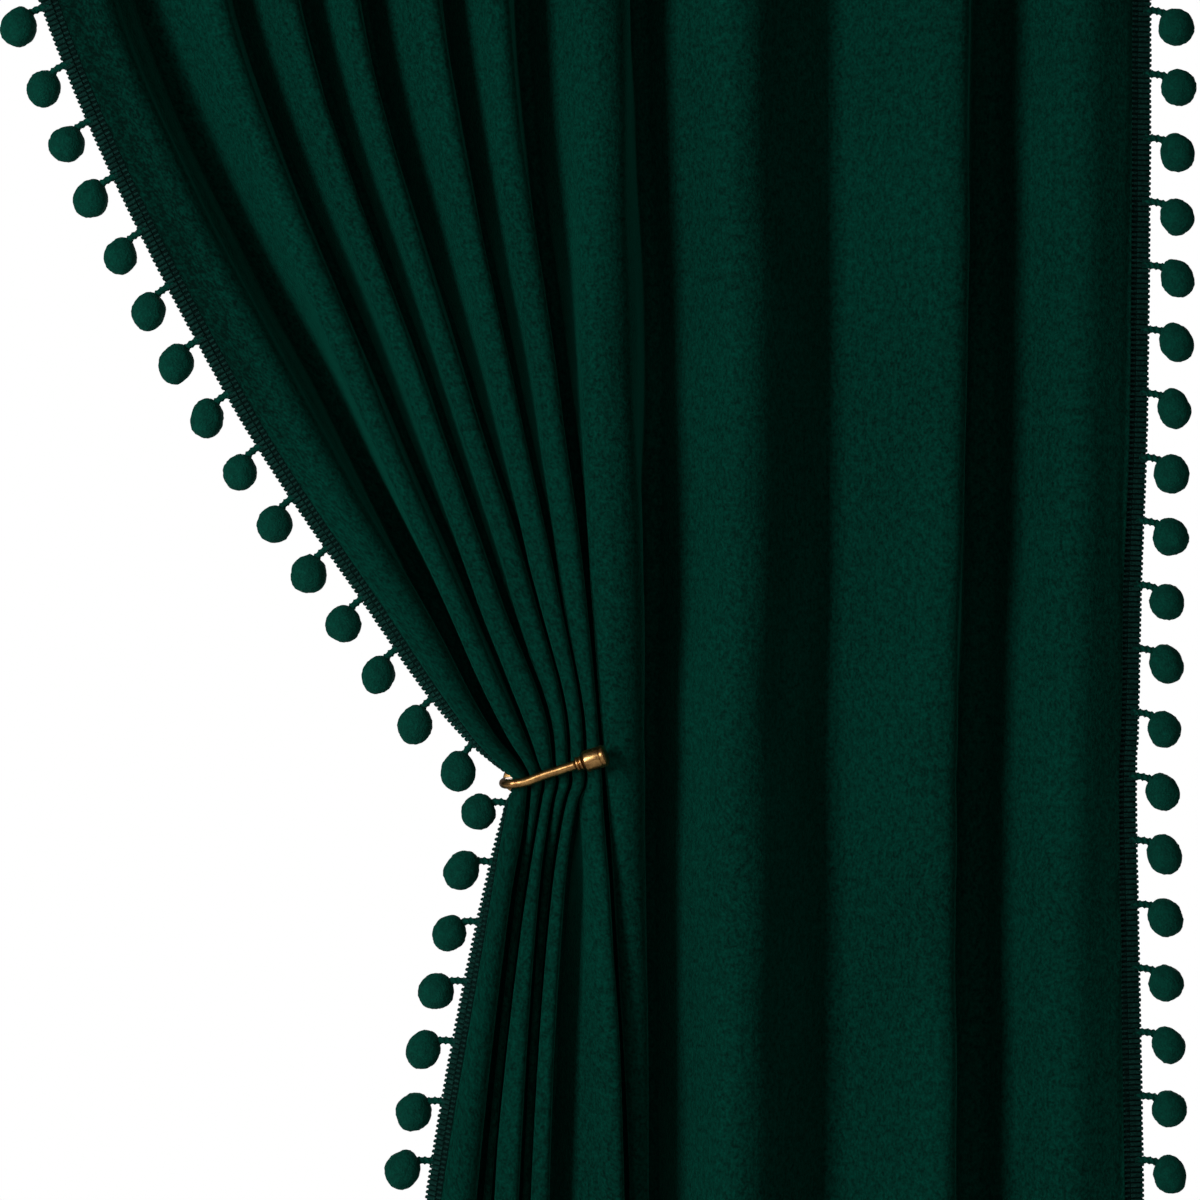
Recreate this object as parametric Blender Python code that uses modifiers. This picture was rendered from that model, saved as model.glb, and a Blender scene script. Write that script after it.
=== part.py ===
"""A velvet curtain panel with pompom trim on both edges, drawn aside by a brass holdback hook.

The panel hangs in ten folds. Its left six are gathered into the hook and its right four hang straight.
Metres, +Z up, the viewer on -Y. The origin is the middle of the panel's top edge.
"""

import math
import random
from collections import namedtuple

import bmesh
import bpy
import numpy as np
from mathutils import Matrix, Vector

MM = 0.001

# The panel as it was cut, and its cloth.
PANEL_WIDTH = 1.320
PANEL_DROP = 1.600
CLOTH_THICKNESS = 0.0014

# The braid strip on each edge, parted from the cloth.
BRAID_WIDTH = 0.0120
PARTING = 0.0008

# Cloth between the left edge and the top of the nearest fold, where nothing draws it in. The right edge
# has what the folds leave.
USUAL_LEFT_RUN = 0.040

# How far the tops of the folds stand in front of the heading's middle line.
FRONT = 0.035

# The least bend of the cloth, how much a roomy fold may overhang, the width from which a fold's lean
# counts in full, and the least depth of a half fold.
LEAST_ROUND = 0.0019
OVERHANG_START = 0.0055
OVERHANG_SHARE = 0.40
OVERHANG_MOST = 0.0050
UPRIGHT_WIDTH = 0.030
FLAT_BACK = 0.0005

# Heights below the top edge at which the folds' places are given.
LEVELS = dict(
    heading=0.000,
    chest=0.400,
    waist=0.649,
    hip=0.773,
    bend=0.860,
    brink=0.876,
    hook=0.886,
    below=0.8965,
    thigh=0.960,
    knee=1.146,
    hem=1.600,
)

Line = namedtuple("Line", "name " + " ".join(LEVELS) + " cloth round")

# Valleys from left to right: millimetres from the heading's middle at each level, then the cloth from
# one fold's top over this valley to the next fold's top, then the radius at the bottom of the valley.
# The left run is the cloth from the left edge to the first fold's top at each level.
LEFT_EDGE = Line("left_edge", -399, -293, -175, -93, -28, -9, 4, -1, -18, -53, -103, None, 0)
LEFT_RUN = Line("left_run", 48, 38, 37, 28, 21, 21, 21, 21, 20, 27, 40, None, None)
RIGHT_EDGE = Line("right_edge", 399, 399, 397, 393, 391, 390, 390, 390, 391, 394, 397, None, 20)
VALLEYS = (
    Line("valley_1", -315, -228, -113, -50, -5, 7, 11, 11, 2, -18, -50, 130, 9),
    Line("valley_2", -246, -172, -76, -24, 12, 17, 20.5, 18.5, 8, -12, -37, 115, 4),
    Line("valley_3", -187, -129, -47, -4, 26, 27, 29, 26.5, 18, 6.5, -11, 100, 4),
    Line("valley_4", -137, -92, -22, 17, 36, 36.5, 37.5, 34, 24, 12, 0, 116, 3),
    Line("valley_5", -72, -42, 6, 32, 46, 46.5, 47, 43, 34, 25, 21, 109, 3),
    Line("valley_6", -1, 7, 34, 49, 56, 57, 58, 59, 63, 73, 78, 146, 6),
    Line("valley_7", 80, 81, 90, 89, 85, 85, 85, 85, 86, 87, 86, 176, 8),
    Line("valley_8", 203, 203, 203, 202, 201, 201, 201, 201, 201, 200, 199, 178, 6),
    Line("valley_9", 304, 301, 297, 295, 293, 292, 291, 291, 291, 290, 289, 162, 14),
)

CLOTH_LINES = (LEFT_EDGE, LEFT_RUN, *VALLEYS, RIGHT_EDGE)
RIGHT_RUN = PANEL_WIDTH - USUAL_LEFT_RUN - sum(valley.cloth for valley in VALLEYS) * MM

Fold = namedtuple("Fold", "name top_lean hook_lean low_lean left_round right_round "
                  "heading waist bend hook thigh knee hem")

# Folds from left to right: where the top stands between its valleys, 0 left and 1 right, at the chest, near
# the hook and under it, then the radii of its left and right shoulders, then how far it stands back from the
# front at seven levels, in millimetres.
FOLDS = (
    Fold("fold_1", 0.55, 0.55, 0.60, 8, 12, 0, 4, 11, 15, 13, 12, 6),
    Fold("fold_2", 0.80, 0.58, 0.50, 8, 6, 0, 5, 11, 15, 28, 30, 20),
    Fold("fold_3", 0.84, 0.72, 0.78, 10, 5, 2, 6, 10, 14, 14, 13, 8),
    Fold("fold_4", 0.82, 0.72, 0.50, 8, 4, 4, 8, 13, 14, 28, 30, 22),
    Fold("fold_5", 0.86, 0.74, 0.80, 10, 4, 0, 5, 9, 12, 13, 14, 8),
    Fold("fold_6", 0.68, 0.70, 0.86, 10, 7, 3, 6, 9, 12, 10, 6, 2),
    Fold("fold_7", 0.62, 0.32, 0.40, 14, 18, 2, 4, 10, 14, 22, 28, 24),
    Fold("fold_8", 0.47, 0.47, 0.47, 14, 22, 0, 0, 3, 3, 2, 0, 0),
    Fold("fold_9", 0.74, 0.74, 0.74, 26, 8, 4, 2, 3, 3, 3, 2, 3),
    Fold("fold_10", 0.57, 0.57, 0.57, 20, 16, 8, 8, 8, 8, 8, 9, 8),
)
LEAN_DROPS = (LEVELS["chest"], LEVELS["bend"], LEVELS["thigh"])
FOLD_LEVELS = ("heading", "waist", "bend", "hook", "thigh", "knee", "hem")

# Rows of the grid: the cloth length at which a band of rows ends, and the rows in it. They are closest
# where the left edge turns round the hook.
Band = namedtuple("Band", "end rows")
BANDS = (
    Band(0.840, 6),
    Band(0.920, 4),
    Band(0.960, 5),
    Band(1.020, 7),
    Band(1.080, 2),
    Band(PANEL_DROP, 4),
)
LEVEL_STEP = 0.004
ARC_STEPS = 2
RUN_STEPS = 3
EDGE_STEPS = 6
SOLVE_STEPS = 40

# The pompoms, hung from the braid by short stems.
POMPOM_WIDTH = 0.0230
POMPOM_HEIGHT = 0.0240
POMPOM_UNEVEN = 0.06
POMPOM_TILT = 0.3
STEM_WIDTH = 0.0042
STEM_SIDES = 3
STEM_REACH = 0.0190
STEM_SAG = 0.55
STEM_ROOT = 0.0050
SWING = 0.12
# The first pompom and the spacing down the edge, then where the edge passes the hook and the braid
# that is gathered there.
Trim = namedtuple("Trim", "name side first pitch hooked gathered seed")
TRIMS = (
    Trim("pompom_trim_left", -1, 0.0405, 0.0380, 0.990, 0.0151, 7),
    Trim("pompom_trim_right", 1, 0.0077, 0.0398, 0.0, 0.0, 9),
)

# The holdback hook.
ROD_DIAMETER = 0.0060
ROD_SIDES = 2
WALL_Y = 0.062
PLATE_DIAMETER = 0.018
PLATE_THICKNESS = 0.005
SEAT_GAP = 0.0003
TURN_STEPS = 20
COLLAR_LENGTH = 0.0050
COLLAR_DIAMETER = 0.0094
COLLAR_WAIST = 0.0070
COLLAR_RINGS = 2
COLLAR_RING = 0.0018
COLLAR_CHAMFER = 0.0008
COLLAR_GROOVE = (COLLAR_LENGTH - COLLAR_RINGS * COLLAR_RING) / COLLAR_RINGS
CAP_LENGTH = 0.0150
CAP_DIAMETER = 0.0136
CAP_EDGE = 0.0012
CAP_DOME = 0.0010

Stop = namedtuple("Stop", "x y below")

# The rod's middle line, in millimetres: right, back, and below the top edge.
ROD_ROUTE = (
    Stop(2.5, 57, 887.2),
    Stop(2.5, 50, 887.2),
    Stop(2.5, 42, 887.2),
    Stop(-1.0, 24, 887.2),
    Stop(-4.2, 5, 887.2),
    Stop(-4.0, -15.5, 887.2),
    Stop(-0.2, -23.6, 887.1),
    Stop(5.5, -25.8, 886.4),
    Stop(11.0, -26.8, 885.1),
    Stop(20.5, -28.4, 881.4),
    Stop(30.8, -30.2, 878.1),
    Stop(40.4, -32, 874.9),
)
ROD_STEPS = 3

COLLECTION = "velvet_curtain"
CUTTERS = "cutters"
VELVET_GREEN = (0.004, 0.028, 0.020, 1.0)
TRIM_GREEN = (0.008, 0.036, 0.028, 1.0)
BRASS_BROWN = (0.42, 0.24, 0.10, 1.0)


def clear_scene():
    for obj in list(bpy.data.objects):
        bpy.data.objects.remove(obj, do_unlink=True)


def collection(name):
    made = bpy.data.collections.new(name)
    bpy.context.scene.collection.children.link(made)
    return made


def material(name, colour, roughness, metallic=0.0, sheen=0.0):
    made = bpy.data.materials.new(name)
    made.use_nodes = True
    shader = made.node_tree.nodes["Principled BSDF"]
    shader.inputs["Base Color"].default_value = colour
    shader.inputs["Roughness"].default_value = roughness
    shader.inputs["Metallic"].default_value = metallic
    shader.inputs["Sheen Weight"].default_value = sheen
    made.diffuse_color = colour
    return made


def new_object(name, mesh, into, finish=None):
    obj = bpy.data.objects.new(name, mesh)
    into.objects.link(obj)
    if finish:
        obj.data.materials.append(finish)
    return obj


def smooth_line(levels, values):
    """A curve through the values that doesn't overshoot them, as a function of the level."""
    at = np.array(levels, float)
    value = np.array(values, float)
    step = np.diff(at)
    slope = np.diff(value) / step
    tangent = np.zeros(len(at))
    tangent[0] = slope[0]
    tangent[-1] = slope[-1]
    for i in range(1, len(at) - 1):
        if slope[i - 1] * slope[i] > 0:
            near = 2 * step[i] + step[i - 1]
            far = step[i] + 2 * step[i - 1]
            tangent[i] = (near + far) / (near / slope[i - 1] + far / slope[i])

    def curve(level):
        level = np.clip(level, at[0], at[-1])
        i = np.clip(np.searchsorted(at, level, side="right") - 1, 0, len(step) - 1)
        t = (level - at[i]) / step[i]
        start = value[i] * (1 + 2 * t) * (1 - t) ** 2 + value[i + 1] * t * t * (3 - 2 * t)
        bend = tangent[i] * t * (1 - t) ** 2 - tangent[i + 1] * t * t * (1 - t)
        return start + bend * step[i]

    return curve


def line_places(line):
    return [getattr(line, level) * MM for level in LEVELS]


def crest_places(index, fold):
    """The top of a fold at each level, between the valleys on its two sides."""
    bounds = [LEFT_EDGE, *VALLEYS, RIGHT_EDGE]
    left = np.array(line_places(bounds[index]))
    right = np.array(line_places(bounds[index + 1]))
    width = right - left
    leans = (fold.top_lean, fold.hook_lean, fold.low_lean)
    lean = np.interp(list(LEVELS.values()), LEAN_DROPS, leans)
    lean = 0.5 + (lean - 0.5) * np.minimum(1.0, width / UPRIGHT_WIDTH)
    return left + lean * width


def shoulder(across, crest, valley):
    """The two radii that fit into a half fold this wide."""
    total = crest + valley
    room = across + min(OVERHANG_MOST, max(0.0, OVERHANG_SHARE * (across - OVERHANG_START)))
    if total > room:
        crest *= room / total
        valley *= room / total
        total = room
    if 0 < valley < LEAST_ROUND:
        valley = min(LEAST_ROUND, total / 2)
        crest = total - valley
    if crest < LEAST_ROUND:
        crest = min(LEAST_ROUND, total / 2)
        valley = total - crest
    return crest, valley


def half_fold(across, back, crest, valley):
    """The wall's angle and length between the round top and the round valley."""
    total = crest + valley
    reach = math.hypot(back - total, across)
    angle = math.acos(max(-1.0, -total / reach)) - math.atan2(across, back - total)
    return angle, math.sqrt(max(0.0, reach * reach - total * total))


def cloth_in(across, back, crest, valley):
    angle, wall = half_fold(across, back, crest, valley)
    return (crest + valley) * angle + wall


def least_back(across, total):
    return total + math.sqrt(total * total - across * across) if total > across else FLAT_BACK


def valley_back(halves, cloth):
    """How far back a valley lies, so that its half folds hold this much cloth. A half is
    (across, crest radius, valley radius, y of its fold's top)."""
    low = max(y + least_back(across, crest + valley) for across, crest, valley, y in halves)
    high = low + cloth
    for _ in range(SOLVE_STEPS):
        middle = (low + high) / 2
        held = sum(cloth_in(across, middle - y, crest, valley) for across, crest, valley, y in halves)
        if held < cloth:
            low = middle
        else:
            high = middle
    return (low + high) / 2


def half_section(across, back, crest, valley, steps):
    """(right, back) points from a fold's top to its valley, both ends included."""
    angle, _ = half_fold(across, back, crest, valley)
    turns = [angle * i / steps for i in range(steps + 1)]
    over = [(crest * math.sin(a), crest * (1 - math.cos(a))) for a in turns]
    if valley == 0:
        return over + [(across, back)]
    under = [(across - valley * math.sin(a), back - valley * (1 - math.cos(a))) for a in reversed(turns)]
    return over + under


def spaced(points, lengths):
    """Points at these lengths along a row of points."""
    points = np.array(points)
    run = np.concatenate([[0.0], np.cumsum(np.hypot(*np.diff(points, axis=0).T))])
    return [tuple(np.interp(length, run, points[:, i]) for i in range(2)) for length in lengths]


class Section:
    """The level cut through the cloth at one drop below the top edge, as (x, y) points."""

    def __init__(self, drop, lines):
        self.left, self.right = lines["left_edge"](drop), lines["right_edge"](drop)
        self.left_run = float(lines["left_run"](drop))
        self.valleys = [lines[valley.name](drop) for valley in VALLEYS]
        self.crests = [
            (float(lines[fold.name](drop)), float(lines[fold.name + "_back"](drop)) - FRONT)
            for fold in FOLDS
        ]

    def half(self, fold, side, end, cloth_round):
        """(across, crest radius, valley radius, y) of the half fold on one side of a fold."""
        x, y = self.crests[fold]
        across = side * (end - x)
        radius = FOLDS[fold].right_round if side > 0 else FOLDS[fold].left_round
        return (across, *shoulder(across, radius * MM, cloth_round * MM), y)

    def drawn(self, fold, side, half, back, steps):
        """The points of a half fold, from its top to its valley."""
        x, y = self.crests[fold]
        section = half_section(half[0], back - y, half[1], half[2], steps)
        return [(x + side * across, y + behind) for across, behind in section]

    def folds(self, steps):
        """The cloth from the first fold's top to the last one's."""
        points = [self.crests[0]]
        for index, valley in enumerate(VALLEYS):
            left = self.half(index, 1, self.valleys[index], valley.round)
            right = self.half(index + 1, -1, self.valleys[index], valley.round)
            back = valley_back((left, right), valley.cloth * MM)
            points += self.drawn(index, 1, left, back, steps)[1:]
            points += self.drawn(index + 1, -1, right, back, steps)[-2::-1]
        return points

    def run(self, side, steps):
        """The cloth from an edge in to its nearest fold's top."""
        edge, end = (LEFT_EDGE, self.left) if side < 0 else (RIGHT_EDGE, self.right)
        fold = 0 if side < 0 else len(FOLDS) - 1
        cloth = self.left_run if side < 0 else RIGHT_RUN
        half = self.half(fold, side, end, edge.round)
        return self.drawn(fold, side, half, valley_back((half,), cloth), steps)[::-1]


def cloth_lines():
    """Each valley's, fold's and edge's place across, and each fold's place back, as functions of the drop."""
    levels = list(LEVELS.values())
    lines = {line.name: smooth_line(levels, line_places(line)) for line in CLOTH_LINES}
    back_levels = [LEVELS[name] for name in FOLD_LEVELS]
    for index, fold in enumerate(FOLDS):
        lines[fold.name] = smooth_line(levels, crest_places(index, fold))
        stands = [getattr(fold, name) * MM for name in FOLD_LEVELS]
        lines[fold.name + "_back"] = smooth_line(back_levels, stands)
    return lines


def cloth_sections():
    """(drop, section) from the top edge to the longest thread's end."""
    lines = cloth_lines()
    count = round(PANEL_DROP / LEVEL_STEP)
    drops = [PANEL_DROP * i / count for i in range(count + 1)]
    return [(drop, Section(drop, lines)) for drop in drops]


def panel_points(section):
    start = BRAID_WIDTH + PARTING
    inner = np.linspace(start, section.left_run, RUN_STEPS + 1)[:-1]
    outer = np.linspace(start, RIGHT_RUN, RUN_STEPS + 1)[:-1]
    left = spaced(section.run(-1, EDGE_STEPS), inner)
    right = spaced(section.run(1, EDGE_STEPS), outer)
    return left + section.folds(ARC_STEPS) + right[::-1]


def braid_points(section, side):
    strip = spaced(section.run(side, EDGE_STEPS), (0.0, BRAID_WIDTH / 2, BRAID_WIDTH))
    return strip if side < 0 else strip[::-1]


def row_lengths():
    lengths = [0.0]
    for band in BANDS:
        lengths += list(np.linspace(lengths[-1], band.end, band.rows + 1)[1:])
    return np.array(lengths)


def hung(sections, points_of, lengths):
    """Rows of (x, y, drop): each thread of the cloth cut at these lengths from the top edge."""
    fine = np.array([[(x, y, drop) for x, y in points_of(section)] for drop, section in sections])
    steps = np.linalg.norm(np.diff(fine, axis=0), axis=2)
    run = np.concatenate([np.zeros((1, fine.shape[1])), np.cumsum(steps, axis=0)])
    rows = np.empty((len(lengths), fine.shape[1], 3))
    for thread in range(fine.shape[1]):
        for i in range(3):
            rows[:, thread, i] = np.interp(lengths, run[:, thread], fine[:, thread, i])
    return rows


def grid_mesh(name, rows):
    """An open surface of quads, from rows of (x, y, drop), facing the viewer."""
    verts = [(x, y, -drop) for row in rows for x, y, drop in row]
    width = len(rows[0])
    faces = [
        (j * width + i, (j + 1) * width + i, (j + 1) * width + i + 1, j * width + i + 1)
        for j in range(len(rows) - 1)
        for i in range(width - 1)
    ]
    mesh = bpy.data.meshes.new(name)
    mesh.from_pydata(verts, [], faces)
    mesh.update()
    mesh.shade_smooth()
    return mesh


def thicken(obj, thickness):
    solidify = obj.modifiers.new("thickness", "SOLIDIFY")
    solidify.thickness = thickness
    solidify.offset = 0.0


def panel(sections, lengths, into, finish):
    rows = hung(sections, panel_points, lengths)
    obj = new_object("velvet_panel", grid_mesh("velvet_panel", rows), into, finish)
    thicken(obj, CLOTH_THICKNESS)


def pompom(mesh, root, side, edge, dice):
    """A stem from inside the braid's edge and a lumpy ball on it."""
    outward = Vector((edge.z, 0.0, -edge.x)) * -side
    hang = (outward + Vector((0.0, 0.0, -STEM_SAG))).normalized()
    hang = (hang + Vector((0.0, dice.uniform(-SWING, SWING), dice.uniform(-SWING, SWING)))).normalized()
    centre = root + hang * STEM_REACH
    start = root - outward * STEM_ROOT
    length = (centre - start).length
    upright = (centre - start).normalized().to_track_quat("Z", "Y").to_matrix().to_4x4()
    stem = Matrix.Translation((start + centre) / 2) @ upright
    bmesh.ops.create_cone(
        mesh,
        cap_ends=True,
        segments=STEM_SIDES,
        radius1=STEM_WIDTH / 2,
        radius2=STEM_WIDTH / 2,
        depth=length,
        matrix=stem,
    )
    wide, deep, tall = [1 + dice.uniform(-POMPOM_UNEVEN, POMPOM_UNEVEN) for _ in range(3)]
    size = Matrix.Diagonal((POMPOM_WIDTH * wide, POMPOM_WIDTH * deep, POMPOM_HEIGHT * tall, 1.0))
    tilt = Matrix.Rotation(dice.uniform(-POMPOM_TILT, POMPOM_TILT), 4, "Y")
    turn = tilt @ Matrix.Rotation(dice.uniform(0, math.tau), 4, "Z")
    bmesh.ops.create_icosphere(
        mesh,
        subdivisions=1,
        radius=0.5,
        matrix=Matrix.Translation(centre) @ turn @ size,
    )


def pompom_places(trim):
    """The lengths down an edge at which its pompoms hang."""
    places = []
    at = trim.first
    while at < PANEL_DROP - STEM_WIDTH:
        places.append(at)
        at += trim.pitch
        if places[-1] < trim.hooked <= at:
            at += trim.gathered
    return places


def pompom_lumps(trim, edge, lengths, into):
    """All the pompoms of one edge, as one hidden mesh that the braid is joined with."""
    dice = random.Random(trim.seed)
    mesh = bmesh.new()
    for at in pompom_places(trim):
        before, root, after = [
            Vector([np.interp(length, lengths, edge[:, i]) for i in range(3)])
            for length in (at - STEM_WIDTH, at, at + STEM_WIDTH)
        ]
        along = after - before
        along.y = 0.0
        pompom(mesh, root, trim.side, along.normalized(), dice)
    data = bpy.data.meshes.new(trim.name + "_pompoms")
    mesh.to_mesh(data)
    mesh.free()
    obj = new_object(trim.name + "_pompoms", data, into)
    obj.hide_render = True
    obj.display_type = "WIRE"
    return obj


def pompom_trim(trim, sections, lengths, into, cutters, finish):
    rows = hung(sections, lambda section: braid_points(section, trim.side), lengths)
    obj = new_object(trim.name, grid_mesh(trim.name, rows), into, finish)
    thicken(obj, CLOTH_THICKNESS)
    edge = rows[:, 0 if trim.side < 0 else -1] * (1.0, 1.0, -1.0)
    fuse = obj.modifiers.new("pompoms", "BOOLEAN")
    fuse.operation = "UNION"
    fuse.object = pompom_lumps(trim, edge, lengths, cutters)
    fuse.use_self = True


def rod_points():
    """A smooth curve through the rod's stops, with equal steps between them."""
    stops = [Vector((s.x * MM, s.y * MM, -s.below * MM)) for s in ROD_ROUTE]
    stops[0].y = WALL_Y - PLATE_THICKNESS - SEAT_GAP
    padded = [2 * stops[0] - stops[1], *stops, 2 * stops[-1] - stops[-2]]
    points = []
    for a, b, c, d in zip(padded, padded[1:], padded[2:], padded[3:]):
        for i in range(ROD_STEPS):
            t = i / ROD_STEPS
            even = 2 * b + (c - a) * t + (2 * a - 5 * b + 4 * c - d) * t * t
            points.append((even + (3 * b - a - 3 * c + d) * t ** 3) / 2)
    return points + [stops[-1]]


def rod(points, into, finish):
    curve = bpy.data.curves.new("holdback_arm", "CURVE")
    curve.dimensions = "3D"
    curve.bevel_depth = ROD_DIAMETER / 2
    curve.bevel_resolution = ROD_SIDES
    curve.use_fill_caps = True
    spline = curve.splines.new("POLY")
    spline.points.add(len(points) - 1)
    for point, place in zip(spline.points, points):
        point.co = (*place, 1.0)
    new_object("holdback_arm", curve, into, finish)


def turned(name, profile, start, direction, into, finish):
    """A turned piece: a profile of (radius, height) from the top of its outer side down."""
    mesh = bpy.data.meshes.new(name)
    verts = [(radius, 0.0, height) for radius, height in profile]
    mesh.from_pydata(verts, [(i, i + 1) for i in range(len(verts) - 1)], [])
    obj = new_object(name, mesh, into, finish)
    screw = obj.modifiers.new("turned", "SCREW")
    screw.steps = TURN_STEPS
    screw.render_steps = TURN_STEPS
    screw.use_merge_vertices = True
    screw.merge_threshold = 0.00001
    obj.location = start
    obj.rotation_mode = "QUATERNION"
    obj.rotation_quaternion = direction.to_track_quat("Z", "Y")


def holdback(into, brass):
    points = rod_points()
    rod(points, into, brass)
    direction = (points[-1] - points[-2]).normalized()
    radius, waist = COLLAR_DIAMETER / 2, COLLAR_WAIST / 2
    collar = [(0.0, COLLAR_LENGTH), (waist, COLLAR_LENGTH)]
    for ring in reversed(range(COLLAR_RINGS)):
        low = ring * (COLLAR_RING + COLLAR_GROOVE)
        collar += [(radius, low + COLLAR_RING), (radius, low + COLLAR_CHAMFER), (waist, low)]
    collar.append((0.0, 0.0))
    start = points[-1] + direction * SEAT_GAP
    turned("holdback_collar", collar, start, direction, into, brass)
    radius = CAP_DIAMETER / 2
    cap = [
        (0.0, CAP_LENGTH),
        (radius - CAP_EDGE, CAP_LENGTH - CAP_DOME),
        (radius, CAP_LENGTH - CAP_DOME - CAP_EDGE),
        (radius, CAP_EDGE),
        (radius - CAP_EDGE, 0.0),
        (0.0, 0.0),
    ]
    start += direction * (COLLAR_LENGTH + SEAT_GAP)
    turned("holdback_cap", cap, start, direction, into, brass)
    radius = PLATE_DIAMETER / 2
    plate = [
        (0.0, PLATE_THICKNESS),
        (radius - PLATE_THICKNESS, PLATE_THICKNESS),
        (radius, PLATE_THICKNESS / 2),
        (radius, 0.0),
        (0.0, 0.0),
    ]
    seat = Vector((points[0].x, WALL_Y, points[0].z))
    turned("holdback_wall_plate", plate, seat, Vector((0.0, -1.0, 0.0)), into, brass)


def main():
    clear_scene()
    curtain = collection(COLLECTION)
    cutters = collection(CUTTERS)
    cutters.hide_render = True
    velvet = material("velvet", VELVET_GREEN, 0.9, sheen=0.6)
    wool = material("trim", TRIM_GREEN, 0.95, sheen=0.3)
    brass = material("brass", BRASS_BROWN, 0.35, metallic=1.0)
    sections = cloth_sections()
    lengths = row_lengths()
    panel(sections, lengths, curtain, velvet)
    for trim in TRIMS:
        pompom_trim(trim, sections, lengths, curtain, cutters, wool)
    holdback(curtain, brass)


main()
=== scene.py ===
"""Looks of a velvet curtain with pompom trim, drawn aside by a brass holdback hook.

The cloth, the braids, the pompoms and the hook are made here in fine detail on the folds and routes of
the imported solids, which they replace. Metres, +Z up, the viewer on -Y, the origin at the top edge.
"""

import math
import random
from collections import namedtuple

import bpy
import numpy as np
from bpy.props import FloatProperty, FloatVectorProperty, PointerProperty
from bpy.types import Operator, Panel, PropertyGroup
from mathutils import Matrix, Vector


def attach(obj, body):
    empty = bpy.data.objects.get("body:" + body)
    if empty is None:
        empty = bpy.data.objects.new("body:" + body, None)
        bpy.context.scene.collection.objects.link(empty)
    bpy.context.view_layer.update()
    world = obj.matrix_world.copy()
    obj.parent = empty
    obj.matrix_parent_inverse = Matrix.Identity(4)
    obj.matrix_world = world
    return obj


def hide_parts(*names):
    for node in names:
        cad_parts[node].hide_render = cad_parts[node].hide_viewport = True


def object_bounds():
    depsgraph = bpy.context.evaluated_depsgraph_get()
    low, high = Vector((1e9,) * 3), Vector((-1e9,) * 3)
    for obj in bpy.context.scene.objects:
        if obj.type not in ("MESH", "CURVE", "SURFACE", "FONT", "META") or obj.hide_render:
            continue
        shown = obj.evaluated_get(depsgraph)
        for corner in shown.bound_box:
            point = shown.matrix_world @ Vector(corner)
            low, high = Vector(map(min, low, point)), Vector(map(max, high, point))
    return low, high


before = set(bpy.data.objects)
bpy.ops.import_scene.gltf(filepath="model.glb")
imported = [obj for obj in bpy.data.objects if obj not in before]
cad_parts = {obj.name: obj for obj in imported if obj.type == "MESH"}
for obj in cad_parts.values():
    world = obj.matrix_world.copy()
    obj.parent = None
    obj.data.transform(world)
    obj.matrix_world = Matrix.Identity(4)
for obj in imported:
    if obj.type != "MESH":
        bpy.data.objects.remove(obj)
CAD_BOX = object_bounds()

bl_info = {
    "name": "Velvet Curtain",
    "version": (1, 0, 0),
    "blender": (4, 5, 0),
    "location": "3D View > Sidebar > Curtain",
    "description": "Makes a velvet curtain with pompom trim and a brass holdback hook",
    "category": "Object",
}

MM = 0.001

# The panel as it was cut.
PANEL_WIDTH = 1.320
PANEL_DROP = 1.600
BRAID_WIDTH = 0.0120
PARTING = 0.0008
USUAL_LEFT_RUN = 0.040

# The folds' fronts, their least bend, and how much a roomy fold may overhang.
FRONT = 0.035
LEAST_ROUND = 0.0019
FLAT_BACK = 0.0005
OVERHANG_START = 0.0055
OVERHANG_SHARE = 0.40
OVERHANG_MOST = 0.0050
UPRIGHT_WIDTH = 0.030

# Heights below the top edge at which the folds' places are given.
LEVELS = dict(
    heading=0.000,
    chest=0.400,
    waist=0.649,
    hip=0.773,
    bend=0.860,
    brink=0.876,
    hook=0.886,
    below=0.8965,
    thigh=0.960,
    knee=1.146,
    hem=1.600,
)

Line = namedtuple("Line", "name " + " ".join(LEVELS) + " cloth round")

# Valleys from left to right: millimetres from the heading's middle at each level, then the cloth from
# one fold's top over this valley to the next fold's top, then the radius at the bottom of the valley.
LEFT_EDGE = Line("left_edge", -399, -293, -175, -93, -28, -9, 4, -1, -18, -53, -103, None, 0)
LEFT_RUN = Line("left_run", 48, 38, 37, 28, 21, 21, 21, 21, 20, 27, 40, None, None)
RIGHT_EDGE = Line("right_edge", 399, 399, 397, 393, 391, 390, 390, 390, 391, 394, 397, None, 20)
VALLEYS = (
    Line("valley_1", -315, -228, -113, -50, -5, 7, 11, 11, 2, -18, -50, 130, 9),
    Line("valley_2", -246, -172, -76, -24, 12, 17, 20.5, 18.5, 8, -12, -37, 115, 4),
    Line("valley_3", -187, -129, -47, -4, 26, 27, 29, 26.5, 18, 6.5, -11, 100, 4),
    Line("valley_4", -137, -92, -22, 17, 36, 36.5, 37.5, 34, 24, 12, 0, 116, 3),
    Line("valley_5", -72, -42, 6, 32, 46, 46.5, 47, 43, 34, 25, 21, 109, 3),
    Line("valley_6", -1, 7, 34, 49, 56, 57, 58, 59, 63, 73, 78, 146, 6),
    Line("valley_7", 80, 81, 90, 89, 85, 85, 85, 85, 86, 87, 86, 176, 8),
    Line("valley_8", 203, 203, 203, 202, 201, 201, 201, 201, 201, 200, 199, 178, 6),
    Line("valley_9", 304, 301, 297, 295, 293, 292, 291, 291, 291, 290, 289, 162, 14),
)

CLOTH_LINES = (LEFT_EDGE, LEFT_RUN, *VALLEYS, RIGHT_EDGE)
RIGHT_RUN = PANEL_WIDTH - USUAL_LEFT_RUN - sum(valley.cloth for valley in VALLEYS) * MM

Fold = namedtuple("Fold", "name top_lean hook_lean low_lean left_round right_round "
                  "heading waist bend hook thigh knee hem")

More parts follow.
